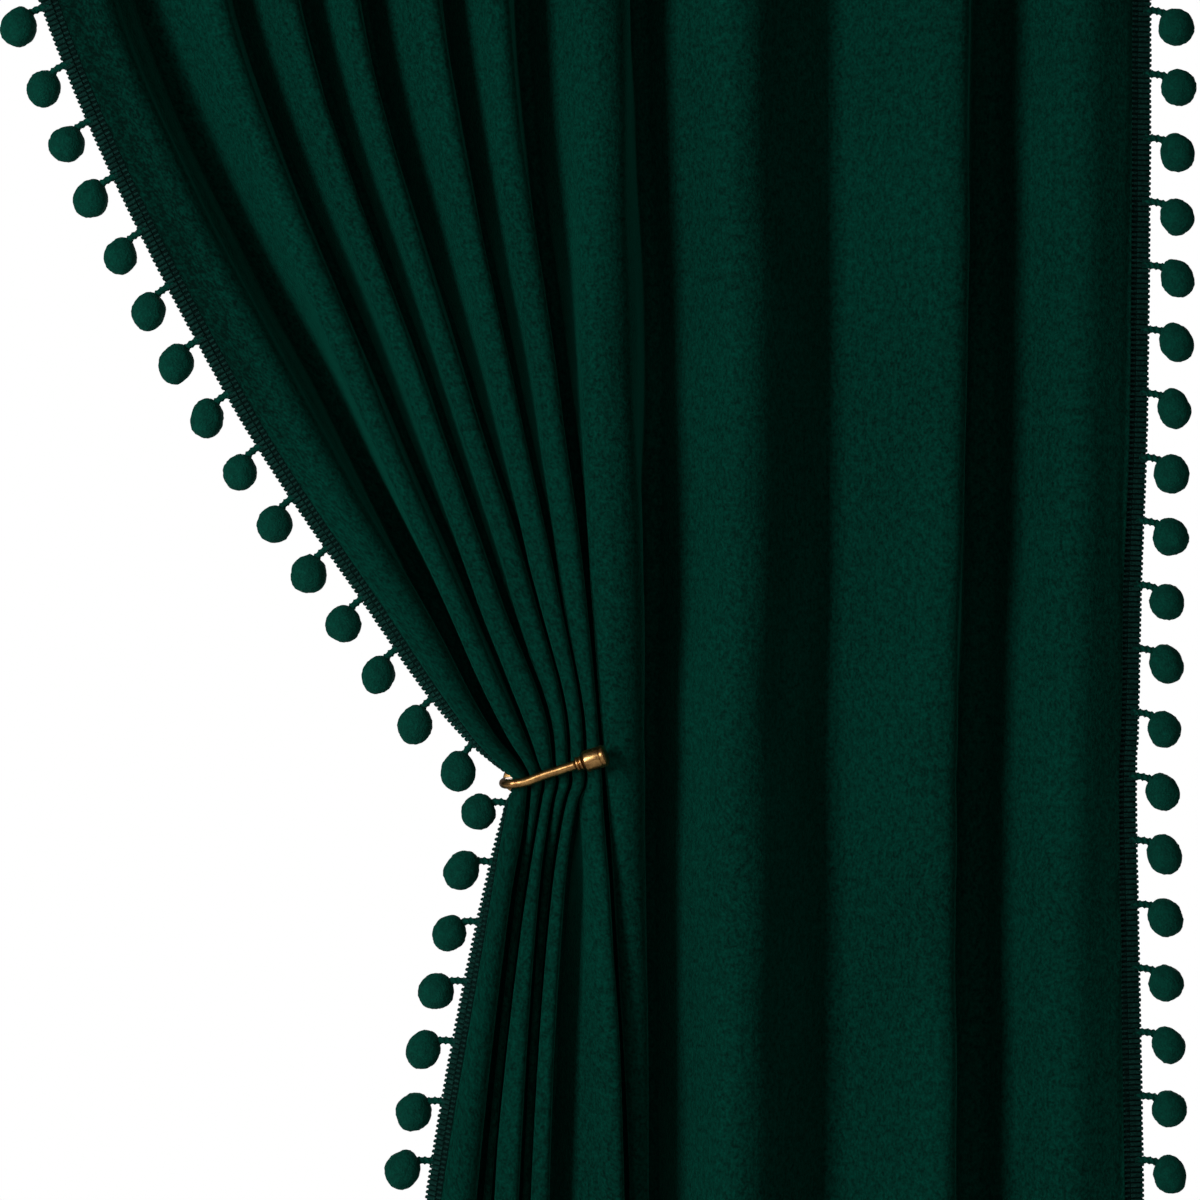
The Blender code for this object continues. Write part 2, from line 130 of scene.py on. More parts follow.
# Folds from left to right: where the top stands between its valleys, 0 left and 1 right, at the chest, near
# the hook and under it, then the radii of its left and right shoulders, then how far it stands back from the
# front at seven levels, in millimetres.
FOLDS = (
    Fold("fold_1", 0.55, 0.55, 0.60, 8, 12, 0, 4, 11, 15, 13, 12, 6),
    Fold("fold_2", 0.80, 0.58, 0.50, 8, 6, 0, 5, 11, 15, 28, 30, 20),
    Fold("fold_3", 0.84, 0.72, 0.78, 10, 5, 2, 6, 10, 14, 14, 13, 8),
    Fold("fold_4", 0.82, 0.72, 0.50, 8, 4, 4, 8, 13, 14, 28, 30, 22),
    Fold("fold_5", 0.86, 0.74, 0.80, 10, 4, 0, 5, 9, 12, 13, 14, 8),
    Fold("fold_6", 0.68, 0.70, 0.86, 10, 7, 3, 6, 9, 12, 10, 6, 2),
    Fold("fold_7", 0.62, 0.32, 0.40, 14, 18, 2, 4, 10, 14, 22, 28, 24),
    Fold("fold_8", 0.47, 0.47, 0.47, 14, 22, 0, 0, 3, 3, 2, 0, 0),
    Fold("fold_9", 0.74, 0.74, 0.74, 26, 8, 4, 2, 3, 3, 3, 2, 3),
    Fold("fold_10", 0.57, 0.57, 0.57, 20, 16, 8, 8, 8, 8, 8, 9, 8),
)
LEAN_DROPS = (LEVELS["chest"], LEVELS["bend"], LEVELS["thigh"])
FOLD_LEVELS = ("heading", "waist", "bend", "hook", "thigh", "knee", "hem")

# Rows of the cloth's grid: the cloth length at which a band of rows ends, and the rows in it.
Band = namedtuple("Band", "end rows")
BANDS = (
    Band(0.760, 54),
    Band(0.880, 14),
    Band(1.020, 35),
    Band(1.100, 10),
    Band(PANEL_DROP, 32),
)
LEVEL_STEP = 0.004
ARC_STEPS = 5
WALL_STEPS = 6
RUN_STEPS = 11
RUN_CROWDING = 1.7
EDGE_STEPS = 12
SOLVE_STEPS = 40

# Creases: the fold, millimetres from its top along the cloth (right is positive) at the start and
# at the end, the cloth lengths from the top edge where it starts and ends, its half width and its depth.
Crease = namedtuple("Crease", "fold start_side end_side start end width depth")
CREASES = (
    Crease("fold_1", -13, -13, 0.10, 0.72, 14, 4.2),
    Crease("fold_1", 24, 30, 0.28, 0.90, 9, 1.6),
    Crease("fold_1", -14, -4, 0.62, 0.95, 6, 0.9),
    Crease("fold_2", 16, 8, 0.10, 0.70, 12, -1.0),
    Crease("fold_2", -12, -10, 0.70, 0.96, 5, 0.8),
    Crease("fold_3", 14, 12, 0.30, 0.92, 7, 0.9),
    Crease("fold_5", 20, 16, 0.05, 0.80, 9, 1.2),
    Crease("fold_5", 12, 14, 0.92, 1.30, 6, 0.9),
    Crease("fold_6", 22, 18, 0.02, 0.60, 10, 1.3),
    Crease("fold_6", 10, 16, 0.90, 1.40, 8, 1.0),
    Crease("fold_7", 26, 22, 0.30, 0.85, 12, 1.4),
    Crease("fold_7", 20, 30, 0.93, 1.30, 10, 1.2),
    Crease("fold_8", 40, 30, 0.60, 1.10, 16, 0.9),
    Crease("fold_9", -30, -22, 0.20, 0.80, 18, 0.8),
    Crease("fold_10", -14, -10, 0.40, 1.20, 14, 0.8),
    Crease("fold_1", 14, 8, 0.86, 0.95, 4, 0.7),
    Crease("fold_3", -9, -6, 0.86, 0.96, 4, 0.8),
    Crease("fold_4", -10, -4, 0.80, 0.93, 4, 0.8),
    Crease("fold_5", -8, -2, 0.82, 0.94, 4, 0.8),
    Crease("fold_6", -12, -6, 0.84, 0.98, 5, 0.9),
    Crease("fold_7", -8, 2, 0.80, 0.96, 6, 1.0),
    Crease("fold_7", 6, 16, 0.88, 1.02, 5, 0.8),
)

# The trims: the edge's side, the first pompom and the spacing down the edge, then where the edge passes the
# hook and the braid that is gathered there.
Trim = namedtuple("Trim", "name side first pitch hooked gathered seed")
TRIMS = (
    Trim("left", -1, 0.0405, 0.0380, 0.990, 0.0151, 7),
    Trim("right", 1, 0.0077, 0.0398, 0.0, 0.0, 9),
)
STEM_REACH = 0.0190
STEM_SAG = 0.55
STEM_ROOT = 0.0050
STEM_END = 0.0042
ROOT_SPAN = 0.0042
SWING = 0.12
POMPOM_UNEVEN = 0.06
POMPOM_LEAN = 0.1
BEND_SHARE = 0.42
BEND_RISE = 0.0012
UPRIGHT = 0.9

# The tape under a braid's ribs.
TAPE_ROWS = 401
TAPE_COLUMNS = 6
TAPE_INSET = 0.0005
TAPE_BACK = 0.0008
TAPE_THICKNESS = 0.0010

# The holdback hook.
WALL_Y = 0.062
PLATE_THICKNESS = 0.005
SEAT_GAP = 0.0003
COLLAR_LENGTH = 0.0050
EDGE_ROUND = 0.0003
PLATE_ROUND = 0.0008

Stop = namedtuple("Stop", "x y below")

# The rod's middle line, in millimetres: right, back, and below the top edge.
ROD_ROUTE = (
    Stop(2.5, 57, 887.2),
    Stop(2.5, 50, 887.2),
    Stop(2.5, 42, 887.2),
    Stop(-1.0, 24, 887.2),
    Stop(-4.2, 5, 887.2),
    Stop(-4.0, -15.5, 887.2),
    Stop(-0.2, -23.6, 887.1),
    Stop(5.5, -25.8, 886.4),
    Stop(11.0, -26.8, 885.1),
    Stop(20.5, -28.4, 881.4),
    Stop(30.8, -30.2, 878.1),
    Stop(40.4, -32, 874.9),
)
ROD_STEPS = 10
ROD_SIDES = 20
TURN_STEPS = 40
SHARP_ANGLE = 50


# Settings that a user would change.


def size(name, description, default, low, high):
    return FloatProperty(
        name=name, description=description, default=default, min=low, max=high, unit="LENGTH"
    )


def colour(name, description, default):
    return FloatVectorProperty(
        name=name, description=description, default=default, size=3, min=0.0, max=1.0, subtype="COLOR"
    )


def power(name, description, default):
    return FloatProperty(name=name, description=description, default=default, min=0.0, unit="POWER")


class VelvetSettings(PropertyGroup):
    thickness: size("Cloth Thickness", "Thickness of the velvet with its pile", 0.0014, 0.0005, 0.004)
    wobble: size("Unevenness", "How far the cloth wanders from a clean fold", 0.0008, 0.0, 0.003)
    pile: colour("Pile Colour", "Colour of the standing pile", (0.0004, 0.0420, 0.0276))
    # The dark end of the velvet's colour: where its random grain is darkest, and the painted shade of the
    # patch beside the left braid.
    crushed_pile_and_shade: colour("Brushed Colour", "Colour where the pile lies flat", (0.0003, 0.0078, 0.0054))


class TrimSettings(PropertyGroup):
    rib_pitch: size("Rib Spacing", "Distance between the braid's cross ribs", 0.0032, 0.0015, 0.01)
    rib_height: size("Rib Thickness", "Thickness of one rib from back to front", 0.0024, 0.001, 0.005)
    stem_width: size("Stem Thickness", "Thickness of the twisted stems", 0.0054, 0.001, 0.008)
    pompom_width: size("Pompom Width", "Mean width of a pompom", 0.0215, 0.01, 0.04)
    pompom_height: size("Pompom Height", "Mean height of a pompom", 0.0235, 0.01, 0.04)
    yarn: colour("Yarn Colour", "Colour of the pompoms and their stems", (0.0010, 0.0520, 0.0340))
    yarn_dark: colour("Yarn Shade", "Colour deep between the cut yarn ends", (0.0008, 0.0230, 0.0160))
    braid: colour("Braid Colour", "Colour of the braid's ribs", (0.0060, 0.0400, 0.0320))
    braid_dark: colour("Braid Shade", "Colour between the braid's threads", (0.0006, 0.0050, 0.0042))


class HoldbackSettings(PropertyGroup):
    rod_diameter: size("Rod Diameter", "Thickness of the hook's rod", 0.0060, 0.003, 0.012)
    bright: colour("Brass Colour", "Colour of the rubbed brass", (0.62, 0.36, 0.13))
    patina: colour("Patina Colour", "Colour of the darkened brass", (0.20, 0.095, 0.035))


class StageSettings(PropertyGroup):
    key: power("Key Light", "Power of the soft light at the front left", 71.0)
    fill: power("Fill Light", "Power of the weak light straight from the front", 4.5)
    back: power("Back Light", "Power of the light behind the curtain", 30.0)
    floor: colour("Floor Colour", "Colour of the plain pale floor", (0.80, 0.80, 0.79))


# The cloth's folds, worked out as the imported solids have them.


def smooth_line(levels, values):
    """A curve through the values that doesn't overshoot them, as a function of the level."""
    at = np.array(levels, float)
    value = np.array(values, float)
    step = np.diff(at)
    slope = np.diff(value) / step
    tangent = np.zeros(len(at))
    tangent[0] = slope[0]
    tangent[-1] = slope[-1]
    for i in range(1, len(at) - 1):
        if slope[i - 1] * slope[i] > 0:
            near = 2 * step[i] + step[i - 1]
            far = step[i] + 2 * step[i - 1]
            tangent[i] = (near + far) / (near / slope[i - 1] + far / slope[i])

    def curve(level):
        level = np.clip(level, at[0], at[-1])
        i = np.clip(np.searchsorted(at, level, side="right") - 1, 0, len(step) - 1)
        t = (level - at[i]) / step[i]
        start = value[i] * (1 + 2 * t) * (1 - t) ** 2 + value[i + 1] * t * t * (3 - 2 * t)
        bend = tangent[i] * t * (1 - t) ** 2 - tangent[i + 1] * t * t * (1 - t)
        return start + bend * step[i]

    return curve


def line_places(line):
    return [getattr(line, level) * MM for level in LEVELS]


def crest_places(index, fold):
    """The top of a fold at each level, between the valleys on its two sides."""
    bounds = [LEFT_EDGE, *VALLEYS, RIGHT_EDGE]
    left = np.array(line_places(bounds[index]))
    right = np.array(line_places(bounds[index + 1]))
    width = right - left
    leans = (fold.top_lean, fold.hook_lean, fold.low_lean)
    lean = np.interp(list(LEVELS.values()), LEAN_DROPS, leans)
    lean = 0.5 + (lean - 0.5) * np.minimum(1.0, width / UPRIGHT_WIDTH)
    return left + lean * width


def shoulder(across, crest, valley):
    """The two radii that fit into a half fold this wide."""
    total = crest + valley
    room = across + min(OVERHANG_MOST, max(0.0, OVERHANG_SHARE * (across - OVERHANG_START)))
    if total > room:
        crest *= room / total
        valley *= room / total
        total = room
    if 0 < valley < LEAST_ROUND:
        valley = min(LEAST_ROUND, total / 2)
        crest = total - valley
    if crest < LEAST_ROUND:
        crest = min(LEAST_ROUND, total / 2)
        valley = total - crest
    return crest, valley


def half_fold(across, back, crest, valley):
    """The wall's angle and length between the round top and the round valley."""
    total = crest + valley
    reach = math.hypot(back - total, across)
    angle = math.acos(max(-1.0, -total / reach)) - math.atan2(across, back - total)
    return angle, math.sqrt(max(0.0, reach * reach - total * total))


def cloth_in(across, back, crest, valley):
    angle, wall = half_fold(across, back, crest, valley)
    return (crest + valley) * angle + wall


def least_back(across, total):
    return total + math.sqrt(total * total - across * across) if total > across else FLAT_BACK


def valley_back(halves, cloth):
    """How far back a valley lies, so that its half folds hold this much cloth. A half is
    (across, crest radius, valley radius, y of its fold's top)."""
    low = max(y + least_back(across, crest + valley) for across, crest, valley, y in halves)
    high = low + cloth
    for _ in range(SOLVE_STEPS):
        middle = (low + high) / 2
        held = sum(cloth_in(across, middle - y, crest, valley) for across, crest, valley, y in halves)
        if held < cloth:
            low = middle
        else:
            high = middle
    return (low + high) / 2


def half_section(across, back, crest, valley, steps, walls):
    """(right, back) points from a fold's top to its valley, both ends included."""
    angle, _ = half_fold(across, back, crest, valley)
    turns = [angle * i / steps for i in range(steps + 1)]
    over = [(crest * math.sin(a), crest * (1 - math.cos(a))) for a in turns]
    under = [(across - valley * math.sin(a), back - valley * (1 - math.cos(a))) for a in reversed(turns)]
    if valley == 0:
        under = [(across, back)]
    a, b = over[-1], under[0]
    wall = [(a[0] + (b[0] - a[0]) * i / walls, a[1] + (b[1] - a[1]) * i / walls) for i in range(1, walls)]
    return over + wall + under


def spaced(points, lengths):
    """Points at these lengths along a row of points."""
    points = np.array(points)
    run = np.concatenate([[0.0], np.cumsum(np.hypot(*np.diff(points, axis=0).T))])
    return [tuple(np.interp(length, run, points[:, i]) for i in range(2)) for length in lengths]


class Section:
    """The level cut through the cloth at one drop below the top edge, as (x, y) points."""

    def __init__(self, drop, lines):
        self.left, self.right = lines["left_edge"](drop), lines["right_edge"](drop)
        self.left_run = float(lines["left_run"](drop))
        self.valleys = [lines[valley.name](drop) for valley in VALLEYS]
        self.crests = [
            (float(lines[fold.name](drop)), float(lines[fold.name + "_back"](drop)) - FRONT)
            for fold in FOLDS
        ]

    def half(self, fold, side, end, cloth_round):
        """(across, crest radius, valley radius, y) of the half fold on one side of a fold."""
        x, y = self.crests[fold]
        across = side * (end - x)
        radius = FOLDS[fold].right_round if side > 0 else FOLDS[fold].left_round
        return (across, *shoulder(across, radius * MM, cloth_round * MM), y)

    def drawn(self, fold, side, half, back, steps, walls):
        """The points of a half fold, from its top to its valley."""
        x, y = self.crests[fold]
        section = half_section(half[0], back - y, half[1], half[2], steps, walls)
        return [(x + side * across, y + behind) for across, behind in section]

    def folds(self, steps, walls):
        """The cloth from the first fold's top to the last one's."""
        points = [self.crests[0]]
        for index, valley in enumerate(VALLEYS):
            left = self.half(index, 1, self.valleys[index], valley.round)
            right = self.half(index + 1, -1, self.valleys[index], valley.round)
            back = valley_back((left, right), valley.cloth * MM)
            points += self.drawn(index, 1, left, back, steps, walls)[1:]
            points += self.drawn(index + 1, -1, right, back, steps, walls)[-2::-1]
        return points

    def run(self, side):
        """The cloth from an edge in to its nearest fold's top."""
        edge, end = (LEFT_EDGE, self.left) if side < 0 else (RIGHT_EDGE, self.right)
        fold = 0 if side < 0 else len(FOLDS) - 1
        cloth = self.left_run if side < 0 else RIGHT_RUN
        half = self.half(fold, side, end, edge.round)
        return self.drawn(fold, side, half, valley_back((half,), cloth), EDGE_STEPS, WALL_STEPS)[::-1]


def cloth_lines():
    """Each valley's, fold's and edge's place across, and each fold's place back, as functions of the drop."""
    levels = list(LEVELS.values())
    lines = {line.name: smooth_line(levels, line_places(line)) for line in CLOTH_LINES}
    back_levels = [LEVELS[name] for name in FOLD_LEVELS]
    for index, fold in enumerate(FOLDS):
        lines[fold.name] = smooth_line(levels, crest_places(index, fold))
        stands = [getattr(fold, name) * MM for name in FOLD_LEVELS]
        lines[fold.name + "_back"] = smooth_line(back_levels, stands)
    return lines


def cloth_sections():
    """(drop, section) from the top edge to the longest thread's end."""
    lines = cloth_lines()
    count = round(PANEL_DROP / LEVEL_STEP)
    drops = [PANEL_DROP * i / count for i in range(count + 1)]
    return [(drop, Section(drop, lines)) for drop in drops]


def hung(sections, points_of, lengths):
    """Rows of (x, y, z): each thread of the cloth cut at these lengths from the top edge."""
    fine = np.array([[(x, y, -drop) for x, y in points_of(section)] for drop, section in sections])
    steps = np.linalg.norm(np.diff(fine, axis=0), axis=2)
    run = np.concatenate([np.zeros((1, fine.shape[1])), np.cumsum(steps, axis=0)])
    rows = np.empty((len(lengths), fine.shape[1], 3))
    for thread in range(fine.shape[1]):
        for i in range(3):
            rows[:, thread, i] = np.interp(lengths, run[:, thread], fine[:, thread, i])
    return rows


def unit(vectors):
    return vectors / np.maximum(np.linalg.norm(vectors, axis=-1, keepdims=True), 1e-12)


def cloth_columns(section):
    """The cloth's points across one level, from the left braid to the right one."""
    start = BRAID_WIDTH + PARTING
    shares = (np.arange(RUN_STEPS) / RUN_STEPS) ** RUN_CROWDING
    left = spaced(section.run(-1), start + (section.left_run - start) * shares)
    right = spaced(section.run(1), start + (RIGHT_RUN - start) * shares)
    return left + section.folds(ARC_STEPS, WALL_STEPS) + right[::-1]


def braid_columns(side, places):
    """A function that gives the points at these distances from one edge of the cloth."""
    return lambda section: spaced(section.run(side), places)


def row_lengths():
    lengths = [0.0]
    for band in BANDS:
        lengths += list(np.linspace(lengths[-1], band.end, band.rows + 1)[1:])
    return np.array(lengths)


def surface_normals(rows):
    """Unit normals of a grid of points, towards the viewer."""
    along = np.gradient(rows, axis=0)
    across = np.gradient(rows, axis=1)
    return unit(np.cross(along, across))


def swell(place, width):
    """A soft hump, 1 at the place and 0 at the width from it."""
    return np.cos(np.clip(place / width, -1, 1) * math.pi / 2) ** 2


FADE_POWER = 0.7


def crease_relief(runs, lengths):
    """How far the listed creases push each point of the grid back, in metres."""
    relief = np.zeros_like(runs)
    half_columns = 2 * ARC_STEPS + WALL_STEPS
    for crease in CREASES:
        index = [fold.name for fold in FOLDS].index(crease.fold)
        top = runs[:, RUN_STEPS + 2 * half_columns * index]
        share = (lengths - crease.start) / (crease.end - crease.start)
        middle = top + (crease.start_side + (crease.end_side - crease.start_side) * share) * MM
        fade = np.where((share > 0) & (share < 1), np.sin(np.clip(share, 0, 1) * math.pi) ** FADE_POWER, 0)
        shape = swell(runs - middle[:, None], crease.width * MM)
        relief += crease.depth * MM * shape * fade[:, None]
    return relief


SEAM_WIDTH = 0.0030
SEAM_DEPTH = 0.0009
TIGHT_WIDTH = 0.016
FREE_WIDTH = 0.048
WOBBLE_FADE = 0.05

# Waves that make the cloth uneven: how often a metre across and down, and their phases.
Wave = namedtuple("Wave", "across down phase share")
WAVES = (
    Wave(3.1, 1.3, 0.4, 0.9),
    Wave(7.3, -2.1, 1.9, 0.7),
    Wave(12.7, 3.7, 4.1, 0.5),
    Wave(-5.9, 6.1, 2.6, 0.4),
    Wave(19.3, 5.3, 5.2, 0.3),
    Wave(-16.1, 9.7, 0.9, 0.25),
)


def freedom(rows):
    """How freely each point of the grid may stray: 1 in wide folds, and 0 where they are drawn tight."""
    half_columns = 2 * ARC_STEPS + WALL_STEPS
    columns = rows.shape[1]
    tops = RUN_STEPS + 2 * half_columns * np.arange(len(FOLDS))
    bottoms = [0, *(tops[:-1] + half_columns), columns - 1]
    widths = np.diff(rows[:, bottoms, 0], axis=1)
    free = np.clip((widths - TIGHT_WIDTH) / (FREE_WIDTH - TIGHT_WIDTH), 0, 1)
    return np.array([np.interp(np.arange(columns), tops, row) for row in free])


def seam_relief(runs):
    """The groove where a braid is sewn on, at the cloth's two edges."""
    from_edge = np.minimum(runs, PANEL_WIDTH - runs) - BRAID_WIDTH - PARTING
    return SEAM_DEPTH * swell(from_edge - SEAM_WIDTH / 2, SEAM_WIDTH)


def wobble_relief(runs, lengths, amount):
    """A low, irregular waviness that dies away at the two braids."""
    down = lengths[:, None]
    relief = sum(
        wave.share * np.sin(math.tau * (wave.across * runs + wave.down * down) + wave.phase)
        for wave in WAVES
    )
    from_edge = np.minimum(runs, PANEL_WIDTH - runs) - BRAID_WIDTH
    return amount * relief * np.clip(from_edge / WOBBLE_FADE, 0, 1)


# Things that every piece is made with.


def new_object(name, data, finish=None):
    obj = bpy.data.objects.new(name, data)
    bpy.context.scene.collection.objects.link(obj)
    if finish:
        data.materials.append(finish)
    return obj


def smooth_object(name, points, faces, finish):
    mesh = bpy.data.meshes.new(name)
    mesh.from_pydata([tuple(point) for point in points], [], faces)
    mesh.update()
    mesh.shade_smooth()
    return new_object(name, mesh, finish)


def plain_mesh(obj):
    """Applies an object's modifiers and replaces it with a plain mesh of the same name."""
    graph = bpy.context.evaluated_depsgraph_get()
    shape = obj.evaluated_get(graph)
    mesh = bpy.data.meshes.new_from_object(shape, preserve_all_data_layers=True, depsgraph=graph)
    obj.modifiers.clear()
    name = obj.name
    bpy.data.objects.remove(obj)
    mesh.name = name
    return new_object(name, mesh)


def thickened(obj, thickness):
    """A plain mesh of an open surface that is made this thick, half of it on each side."""
    solidify = obj.modifiers.new("thickness", "SOLIDIFY")
    solidify.thickness = thickness
    solidify.offset = 0.0
    return plain_mesh(obj)


def grid_object(name, rows, runs, lengths, finish):
    """An open surface of quads facing the viewer, with its flat place in a UV map."""
    height, width = rows.shape[:2]
    faces = [
        (j * width + i, (j + 1) * width + i, (j + 1) * width + i + 1, j * width + i + 1)
        for j in range(height - 1)
        for i in range(width - 1)
    ]
    made = smooth_object(name, rows.reshape(-1, 3).tolist(), faces, finish)
    up = np.broadcast_to(1 - lengths[:, None] / PANEL_DROP, runs.shape)
    flat = np.stack([runs / PANEL_WIDTH, up], axis=2)
    corners = np.zeros(len(made.data.loops), int)
    made.data.loops.foreach_get("vertex_index", corners)
    layer = made.data.uv_layers.new(name="flat_cloth")
    layer.uv.foreach_set("vector", flat.reshape(-1, 2)[corners].ravel())
    return made


def named_input(tree, modifier, name, value):
    """Sets a modifier's input by the identifier of the socket with this name."""
    for item in tree.interface.items_tree:
        if item.item_type == "SOCKET" and item.in_out == "INPUT" and item.name == name:
            modifier[item.identifier] = value
            return
    raise ValueError(f"{tree.name} has no input named {name}")


class Nodes:
    """A short way to add nodes to a tree and to link them."""

    def __init__(self, tree):
        self.tree = tree

    def add(self, kind, **settings):
        node = self.tree.nodes.new(kind)
        for name, value in settings.items():
            setattr(node, name, value)
        return node

    def link(self, source, target):
        self.tree.links.new(source, target)

    def put(self, node, **values):
        """Sets or links a node's inputs, named with _ for a space."""
        for name, value in values.items():
            self.feed(node.inputs[name.replace("_", " ")], value)
        return node

    def feed(self, socket, value):
        if isinstance(value, bpy.types.NodeSocket):
            self.link(value, socket)
        else:
            socket.default_value = value

    def first(self, kind, **values):
        """The first output of a new node with these inputs."""
        return self.put(self.add(kind), **values).outputs[0]

    def worked(self, kind, operation, a, b):
        node = self.add(kind, operation=operation)
        self.feed(node.inputs[0], a)
        self.feed(node.inputs[1], b)
        return node.outputs[0]

    def math(self, operation, a, b=0.0):
        return self.worked("ShaderNodeMath", operation, a, b)

    def vector(self, operation, a, b):
        return self.worked("ShaderNodeVectorMath", operation, a, b)

    def times(self, a, b):
        return self.math("MULTIPLY", a, b)

    def plus(self, a, b):
        return self.math("ADD", a, b)

    def minus(self, a, b):
        return self.math("SUBTRACT", a, b)

    def scaled(self, vector, factor):
        node = self.add("ShaderNodeVectorMath", operation="SCALE")
        self.feed(node.inputs[0], vector)
        self.feed(node.inputs["Scale"], factor)
        return node.outputs[0]


# Finishes.


def node_group(name, inputs, outputs):
    """A shader node group with named sockets. An input is (name, kind, default)."""
    tree = bpy.data.node_groups.new(name, "ShaderNodeTree")
    for label, kind, default in inputs:
        socket = tree.interface.new_socket(name=label, in_out="INPUT", socket_type="NodeSocket" + kind)
        if default is not None:
            socket.default_value = default
    for label, kind in outputs:
        tree.interface.new_socket(name=label, in_out="OUTPUT", socket_type="NodeSocket" + kind)
    nodes = Nodes(tree)
    return nodes, nodes.add("NodeGroupInput").outputs, nodes.add("NodeGroupOutput").inputs


def stretched_grain():
    """Grain that is longer one way than the other, as pile laid one way, yarn and metal rubbed in strokes
    have.
    """
    nodes, given, out = node_group(
        "stretched_grain",
        [
            ("Place", "Vector", None),
            ("Repeats", "Vector", (100.0, 100.0, 100.0)),
            ("Detail", "Float", 3.0),
            ("Contrast", "Float", 1.0),
        ],
        [("Mask", "Float")],
    )
    noise = nodes.add("ShaderNodeTexNoise", noise_dimensions="3D")
    nodes.put(noise, Vector=nodes.vector("MULTIPLY", given["Place"], given["Repeats"]), Scale=1.0)
    nodes.put(noise, Detail=given["Detail"], Roughness=0.6)
    centred = nodes.minus(noise.outputs["Fac"], 0.5)
    spread = nodes.times(centred, given["Contrast"])
    mask = nodes.add("ShaderNodeMath", operation="ADD", use_clamp=True)
    nodes.feed(mask.inputs[0], spread)
    nodes.feed(mask.inputs[1], 0.5)
    nodes.link(mask.outputs[0], out["Mask"])
    return nodes.tree


# Grain: how often it repeats in a metre each way, its detail and contrast, and its share of the tone.
Grain = namedtuple("Grain", "repeats detail contrast share")
VELVET_FINE = Grain((560.0, 440.0, 1.0), 2.0, 4.6, 0.42)
VELVET_MOTTLED = Grain((250.0, 170.0, 1.0), 2.0, 4.2, 0.36)
VELVET_PRESSED = Grain((16.0, 6.0, 1.0), 3.0, 2.0, 0.22)
YARN_ENDS = Grain((700.0, 700.0, 700.0), 2.0, 3.6, 0.5)
YARN_LUMPS = Grain((230.0, 230.0, 230.0), 2.0, 2.4, 0.5)
BRASS_STROKES = Grain((350.0, 900.0, 2200.0), 3.0, 2.0, 0.18)
BRASS_TARNISH = Grain((120.0, 120.0, 120.0), 4.0, 2.6, 1.0)


def grain(nodes, tree, place, kind):
    node = nodes.add("ShaderNodeGroup", node_tree=tree)
    nodes.put(node, Place=place, Repeats=kind.repeats, Detail=kind.detail, Contrast=kind.contrast)
    return node.outputs["Mask"]


def tone_of(nodes, masks):
    """The masks added up, each by its share. A mask is (value, kind of grain)."""
    parts = [nodes.times(value, kind.share) for value, kind in masks]
    total = parts[0]
    for part in parts[1:]:
        total = nodes.plus(total, part)
    return total


def fine_relief(nodes, shader, height, strength, distance):
    normal = nodes.first("ShaderNodeBump", Strength=strength, Distance=distance, Height=height)
    nodes.link(normal, shader.inputs["Normal"])


def new_material(name, tint):
    made = bpy.data.materials.new(name)
    made.use_nodes = True
    made.diffuse_color = (*tint, 1.0)
    nodes = Nodes(made.node_tree)
    return made, nodes, made.node_tree.nodes["Principled BSDF"]


# A mix node has sockets for each kind of value. These are the numbers of the colour ones.
MIX_DARK, MIX_LIGHT, MIX_RESULT = 6, 7, 2


def blend_colours(nodes, factor, dark, light):
    node = nodes.add("ShaderNodeMix", data_type="RGBA")
    nodes.feed(node.inputs[0], factor)
    nodes.feed(node.inputs[MIX_DARK], (*dark, 1.0))
    nodes.feed(node.inputs[MIX_LIGHT], (*light, 1.0))
    return node.outputs[MIX_RESULT]


# Painted shade: a patch beside the left braid, at the top, whose colour is drawn towards the dark colour.
SHADED_PATCH_WIDTH = 0.062
SHADED_PATCH_FADE = 0.040
SHADED_PATCH_LENGTH = 0.620
SHADED_PATCH_FADE_DOWN = 0.160
SHADED_PATCH_SHARE = 0.34

VELVET_ROUGHNESS = 0.82
VELVET_ROUGHER = 0.12
BRASS_ROUGHNESS = 0.20


def faded(nodes, value, whole, none):
    """A mask that goes smoothly from 1 where the value is whole to 0 where it is none."""
    node = nodes.add("ShaderNodeMapRange", interpolation_type="SMOOTHSTEP")
    nodes.put(node, Value=value, From_Min=none, From_Max=whole, To_Min=0.0, To_Max=1.0)
    return node.outputs["Result"]


def velvet_finish(settings, tree):
    made, nodes, shader = new_material("velvet", settings.pile[:])
    flat = nodes.add("ShaderNodeUVMap", uv_map="flat_cloth").outputs["UV"]
    place = nodes.vector("MULTIPLY", flat, (PANEL_WIDTH, PANEL_DROP, 1.0))
    kinds = (VELVET_FINE, VELVET_MOTTLED, VELVET_PRESSED)
    masks = [(grain(nodes, tree, place, kind), kind) for kind in kinds]
    shade = tone_of(nodes, masks)
    where = nodes.add("ShaderNodeSeparateXYZ")
    nodes.link(place, where.inputs[0])
    # Painted shade: the patch beside the left braid, at the top, is darkened towards the dark colour.
    beside = faded(nodes, where.outputs["X"], SHADED_PATCH_WIDTH - SHADED_PATCH_FADE, SHADED_PATCH_WIDTH)
    low = PANEL_DROP - SHADED_PATCH_LENGTH
    above = faded(nodes, where.outputs["Y"], low, low - SHADED_PATCH_FADE_DOWN)
    painted_shade = nodes.times(nodes.times(beside, above), SHADED_PATCH_SHARE)
    tone = nodes.minus(shade, painted_shade)
    rough = nodes.plus(nodes.times(shade, VELVET_ROUGHER), VELVET_ROUGHNESS)
    nodes.put(shader, Base_Color=blend_colours(nodes, tone, settings.crushed_pile_and_shade[:], settings.pile[:]))
    nodes.put(shader, Roughness=rough, Sheen_Tint=(0.01, 0.42, 0.28, 1.0))
    nodes.put(shader, Specular_IOR_Level=0.02, Sheen_Weight=0.30, Sheen_Roughness=0.35)
    fine_relief(nodes, shader, masks[0][0], strength=0.35, distance=0.0006)
    return made


